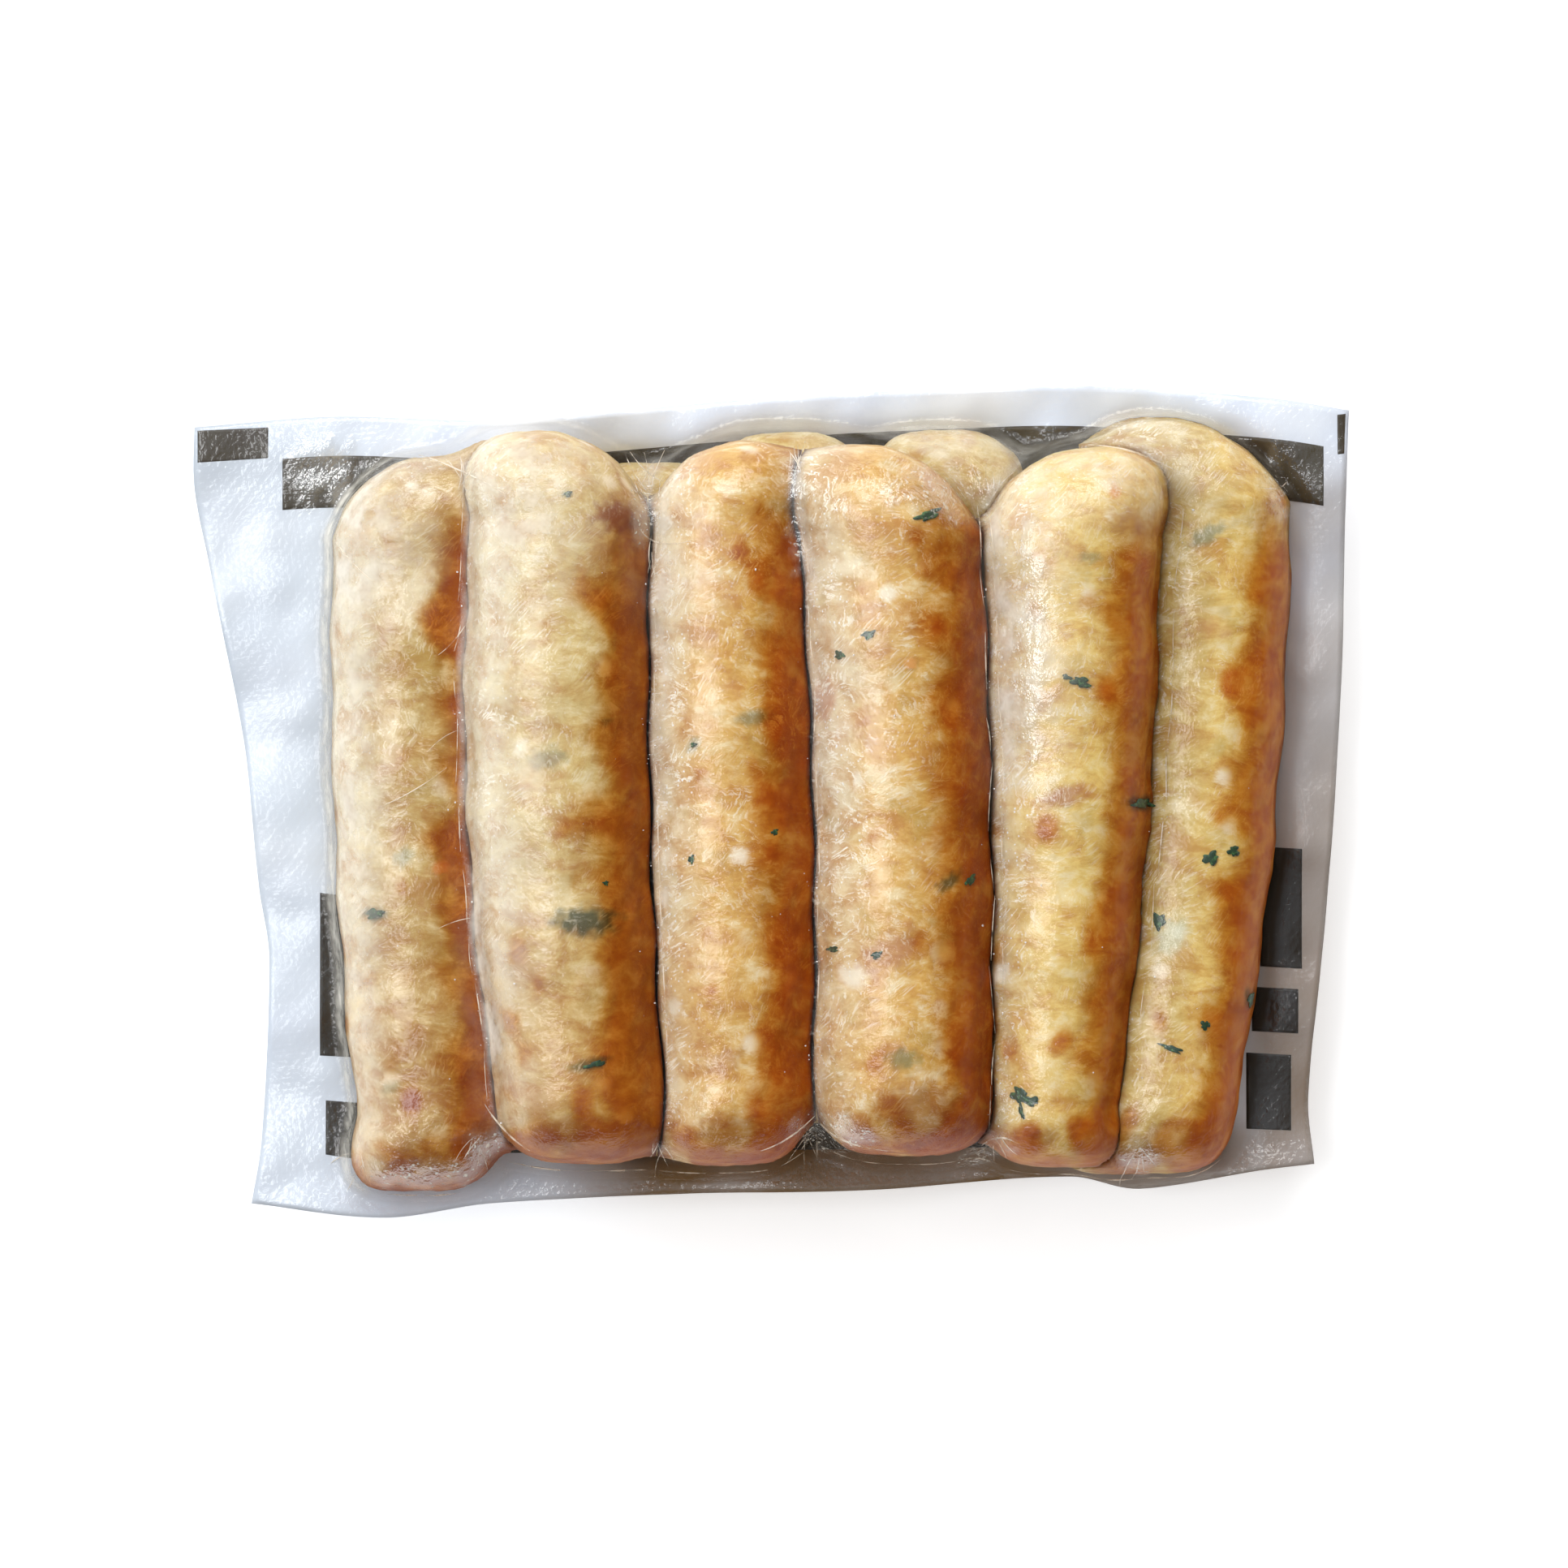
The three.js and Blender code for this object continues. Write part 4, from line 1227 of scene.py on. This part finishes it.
def fan_creases():
    """The small pleats of every fan, as start, middle, end and thickness."""
    random = np.random.default_rng(31)
    made = []
    for x, y, direction, spread, count, length in FANS:
        for i in range(count):
            a = math.radians(direction + spread * ((i + 0.5) / count - 0.5 + random.uniform(-0.08, 0.08)))
            bend = random.uniform(-0.35, 0.35)
            sx, sy = x + random.uniform(-1.2, 1.2), y + random.uniform(-1.2, 1.2)
            long = length * random.uniform(0.35, 1.0)
            middle = (sx + 0.5 * long * math.cos(a + bend), sy + 0.5 * long * math.sin(a + bend))
            end = (sx + long * math.cos(a), sy + long * math.sin(a))
            made.append(((sx, sy), middle, end, random.uniform(0.35, 0.7)))
    return made


def tail_foot(x):
    """Where along Y the film has risen by FOOT_RISE from the tail margin."""
    low, high = edge_tail(x) + 0.5, np.full(len(x), -48.0)
    for _ in range(16):
        y = (low + high) / 2
        risen = film_rise(x, y) > FOOT_RISE
        low, high = np.where(risen, low, y), np.where(risen, y, high)
    return low


def foot_creases():
    """The broken bright fold where the film meets the margin round the tail ends."""
    random = np.random.default_rng(43)
    made = []
    x, last = FOOT_REACH
    while x < last:
        end = x + random.uniform(5, 11)
        xs = np.array([x, (x + end) / 2, end])
        ys = tail_foot(xs)
        if np.ptp(ys) < FOOT_JUMP:
            middle = (xs[1], 2 * ys[1] - (ys[0] + ys[2]) / 2)
            made.append(((xs[0], ys[0]), middle, (xs[2], ys[2]), random.uniform(0.5, 1.0)))
        x = end + random.uniform(-0.5, 2.5)
    return made


class SAUSAGEPACK_OT_creases(bpy.types.Operator):
    """Add the raised creases in the clear film"""

    bl_idname = "sausagepack.creases"
    bl_label = "Film creases"

    def execute(self, context):
        sizes = context.scene.pack_sizes
        piece = add_primitive(bpy.ops.curve.primitive_bezier_curve_add, "film_creases")
        data = piece.data
        data.dimensions = "3D"
        data.splines.clear()
        data.bevel_depth = sizes.crease
        data.bevel_resolution = 2
        data.use_fill_caps = True
        t = np.linspace(0, 1, CREASE_STEPS)[:, None]
        for start, middle, end, thick in CREASES + fan_creases() + valley_creases() + foot_creases():
            path = (1 - t) ** 2 * np.array(start) + 2 * t * (1 - t) * np.array(middle) + t**2 * np.array(end)
            z = front_surface(path[:, 0], path[:, 1])
            spline = data.splines.new("POLY")
            spline.points.add(CREASE_STEPS - 1)
            for point, (px, py), pz, share in zip(spline.points, path, z, t[:, 0]):
                point.co = (px * MM, py * MM, pz * MM, 1)
                point.radius = thick * (0.25 + 0.75 * math.sin(math.pi * share))
        select_only(piece)
        bpy.ops.object.convert(target="MESH")
        finish_piece(bpy.context.active_object, crease_material(), "filled_front_film")
        return {"FINISHED"}


# Grains of ice along a valley: which valley, from y to y, how many
ICE_RUNS = [(1, 58, -60, 70), (2, 56, -58, 80), (3, 56, -58, 60), (4, 50, -58, 80), (5, 56, -50, 30)]
LOOSE_GRAINS = 60
GRAIN_DEPTH = 0.22  # how far under the film's surface a grain lies


class SAUSAGEPACK_OT_ice(bpy.types.Operator):
    """Add the grains of ice and small bubbles that glint under the film"""

    bl_idname = "sausagepack.ice"
    bl_label = "Ice and bubbles"

    def execute(self, context):
        ball = add_primitive(bpy.ops.mesh.primitive_ico_sphere_add, "grain", subdivisions=1, radius=1)
        flat, faces = small_shape(ball)
        random = np.random.default_rng(7)
        places = []
        for valley, header, tail, count in ICE_RUNS:
            y = random.uniform(tail, header, count)
            x = VALLEYS[valley](y) + random.normal(0.9, 1.1, count)
            places.append(np.stack([x, y], axis=1))
        loose_y = random.uniform(-55, 55, LOOSE_GRAINS)
        places.append(np.stack([random.uniform(-72, 86, LOOSE_GRAINS), loose_y], axis=1))
        places = np.concatenate(places)
        z = front_surface(places[:, 0], places[:, 1])
        radii = 0.07 + 0.16 * random.random(len(places)) ** 3
        copies = []
        for (px, py), pz, r in zip(places, z, radii):
            squash = random.uniform(0.6, 1.3, 3) * r
            copies.append(flat * squash + np.array([px, py, pz - GRAIN_DEPTH]))
        grains = joined_copies("ice_grains", flat, faces, copies)
        finish_piece(grains, ice_material(), "filled_front_film")
        return {"FINISHED"}


# Back film and its print


def margin_shade_share(x, y):
    """How strong the painted shade is: a soft brown along the tail margin, and fading up the right one, where
    the pack shades the film.
    """
    tail = smooth_step(-52, -15, x) * smooth_step(-52, -60, y) * (0.95 - 0.3 * smooth_step(30, 90, x))
    right = smooth_step(80, 88, x) * (0.78 - 0.42 * smooth_step(-40, 55, y)) * smooth_step(66, 54, y)
    uneven = 1 + 0.12 * ripples(x, y, 26, 77)
    return np.clip(np.maximum(tail, right) * uneven, 0, 1)


class SAUSAGEPACK_OT_back_film(bpy.types.Operator):
    """Add the white back film, which bulges down round the lower sausages"""

    bl_idname = "sausagepack.back_film"
    bl_label = "Back film"

    def execute(self, context):
        sizes = context.scene.pack_sizes
        piece, x, y = grid_piece("printed_back_film", back_places())
        ripple = margin_ripple(sizes, margin_share(film_rise(x, y)), x, y)
        move_vertices(piece, x, y, back_surface(x, y) + ripple)
        store(piece, "margin_shade", margin_shade_share(x, y))
        store(piece, "shade", 0.8 * smooth_step(-62, -84, x) * (1 + 0.2 * ripples(x, y, 20, 78)))
        apply_modifier(piece, "SOLIDIFY", thickness=sizes.back_film, offset=1)
        finish_piece(piece, back_film_material(context.scene.pack_colours), "back_film")
        return {"FINISHED"}


# The header bar: left, right, and how far its edges lie below the cut edge at the left and right
BAR = (-86.1, 97.1, (15.9, 17.6), (6.9, 7.1))

# Printed fields: left, right, and how high the lower and upper edge lie at the left and right
PRINT = [
    (-101.0, -88.6, (59.6, 60.4), (65.2, 65.8)),
    (99.6, 101.2, (61.2, 61.4), (68.2, 68.4)),
    (86.0, 93.3, (-29.0, -29.4), (-7.9, -8.3)),
    (84.5, 92.6, (-40.4, -40.8), (-32.6, -33.0)),
    (83.5, 91.4, (-57.6, -57.9), (-44.2, -44.6)),
    (-79.5, -72.0, (-44.6, -45.0), (-16.0, -17.0)),
    (-78.5, -72.0, (-62.0, -63.0), (-52.5, -53.0)),
    (-47.0, 66.0, (-61.8, -60.6), (-50.0, -50.0)),
]
DEEP = 0.8  # how much darker the fields of the tail half are
EDGE_CLEARANCE = 0.5  # how far print stays from the cut edge
PRINT_GRID = 0.5  # how far apart the printed fields' own points lie


class SAUSAGEPACK_OT_print(bpy.types.Operator):
    """Add the plain printed fields: a header bar, corner marks and dark blocks"""

    bl_idname = "sausagepack.print"
    bl_label = "Print"

    def execute(self, context):
        sizes = context.scene.pack_sizes
        fields = []
        for left, right, low, high in (BAR, *PRINT):
            columns = max(int((right - left) / PRINT_GRID), 2)
            u = np.linspace(0, 1, columns + 1)[:, None]
            v = np.linspace(0, 1, max(int((high[0] - low[0]) / PRINT_GRID), 12) + 1)[None, :]
            bottom = low[0] + (low[1] - low[0]) * u
            top = high[0] + (high[1] - high[0]) * u
            x = left + (right - left) * u + 0 * v
            if (left, right) == BAR[:2]:
                bottom, top = edge_header(x) - bottom, edge_header(x) - top
            y = bottom + (top - bottom) * v
            x = np.clip(x, edge_left(y) + EDGE_CLEARANCE, edge_right(y) - EDGE_CLEARANCE)
            piece, px, py = grid_piece("field", (x, y))
            move_vertices(piece, px, py, np.full(len(px), TALLEST))
            store(piece, "deep", np.full(len(px), DEEP if max(high) < 0 else 0.0))
            fields.append(piece)
        select_only(*fields)
        bpy.ops.object.join()
        joined = bpy.context.active_object
        joined.name = joined.data.name = "printed_fields"
        apply_modifier(
            joined,
            "SHRINKWRAP",
            target=bpy.data.objects["printed_back_film"],
            wrap_method="PROJECT",
            use_project_z=True,
            use_positive_direction=False,
            use_negative_direction=True,
            offset=sizes.ink,
        )
        apply_modifier(joined, "SOLIDIFY", thickness=0.03 * MM, offset=-1)
        finish_piece(joined, ink_material(context.scene.pack_colours), "back_film")
        return {"FINISHED"}


# Stage

CAMERA_DISTANCE = 2.0  # metres
CAMERA_LEVEL = 0.025  # the height in metres at which the picture's scale holds
SENSOR = 36  # millimetres


class SAUSAGEPACK_OT_stage(bpy.types.Operator):
    """Add the floor, the soft lights and the camera straight above"""

    bl_idname = "sausagepack.stage"
    bl_label = "Stage"

    def execute(self, context):
        scene = context.scene
        floor = add_primitive(bpy.ops.mesh.primitive_plane_add, "floor", size=6)
        floor.data.materials.append(floor_material())

        width = PICTURE * MM_PER_PIXEL * MM
        bpy.ops.object.camera_add(location=(PICTURE_CENTRE[0] * MM, PICTURE_CENTRE[1] * MM, CAMERA_DISTANCE))
        camera = context.active_object
        camera.data.sensor_width = SENSOR
        camera.data.lens = SENSOR * (CAMERA_DISTANCE - CAMERA_LEVEL) / width
        scene.camera = camera

        add_light("window", (-0.8, 0.2, 1.3), 0.9, 10.5)
        add_light("far window", (0.0, 1.3, 1.0), 1.0, 13)
        scene.world = dim_room()
        scene.view_settings.view_transform = "Standard"
        return {"FINISHED"}


def dim_room():
    """A soft room that is cool and bright towards the window, and warm and dim on the other side."""
    room = bpy.data.worlds.new("Soft room with a window")
    room.use_nodes = True
    add = partial(add_node, room)
    direction = add("TexCoord", output="Generated")
    towards = add("VectorMath", (direction, (-0.55, 0.35, 0.76)), "Value", operation="DOT_PRODUCT")
    share = add("MapRange", (towards, 0.0, 1.05), **SOFTLY)
    tone = layered(add, (0.19, 0.145, 0.1, 1), (share, (0.68, 0.73, 0.79, 1), "MIX"))
    room.node_tree.links.new(tone, room.node_tree.nodes["Background"].inputs["Color"])
    return room


def add_light(name, place, size, power):
    """A square soft light that faces the pack."""
    bpy.ops.object.light_add(type="AREA", location=place)
    light = bpy.context.active_object
    light.name = name
    light.data.size = size
    light.data.energy = power
    x, y, z = place
    light.rotation_euler = (math.atan2(math.hypot(x, y), z), 0, math.atan2(x, -y))


# Add-on

OPERATORS = (
    SAUSAGEPACK_OT_sausages,
    SAUSAGEPACK_OT_leaves,
    SAUSAGEPACK_OT_ice,
    SAUSAGEPACK_OT_clear_film,
    SAUSAGEPACK_OT_creases,
    SAUSAGEPACK_OT_back_film,
    SAUSAGEPACK_OT_print,
    SAUSAGEPACK_OT_stage,
)


class SAUSAGEPACK_PT_panel(bpy.types.Panel):
    """Lists the pieces of the pack"""

    bl_idname = "SAUSAGEPACK_PT_panel"
    bl_label = "Sausage pack"
    bl_space_type = "VIEW_3D"
    bl_region_type = "UI"
    bl_category = "Sausage pack"

    def draw(self, context):
        for operator in OPERATORS:
            self.layout.operator(operator.bl_idname)
        for group in (context.scene.pack_sizes, context.scene.pack_colours):
            for name in group.bl_rna.properties.keys():
                if name not in ("rna_type", "name"):
                    self.layout.prop(group, name)


CLASSES = (PackSizes, PackColours, *OPERATORS, SAUSAGEPACK_PT_panel)


def register():
    for each in CLASSES:
        bpy.utils.register_class(each)
    bpy.types.Scene.pack_sizes = bpy.props.PointerProperty(type=PackSizes)
    bpy.types.Scene.pack_colours = bpy.props.PointerProperty(type=PackColours)


def unregister():
    del bpy.types.Scene.pack_colours
    del bpy.types.Scene.pack_sizes
    for each in reversed(CLASSES):
        bpy.utils.unregister_class(each)


def main():
    register()
    for operator in OPERATORS:
        family, name = operator.bl_idname.split(".")
        getattr(getattr(bpy.ops, family), name)()


if __name__ == "__main__":
    main()
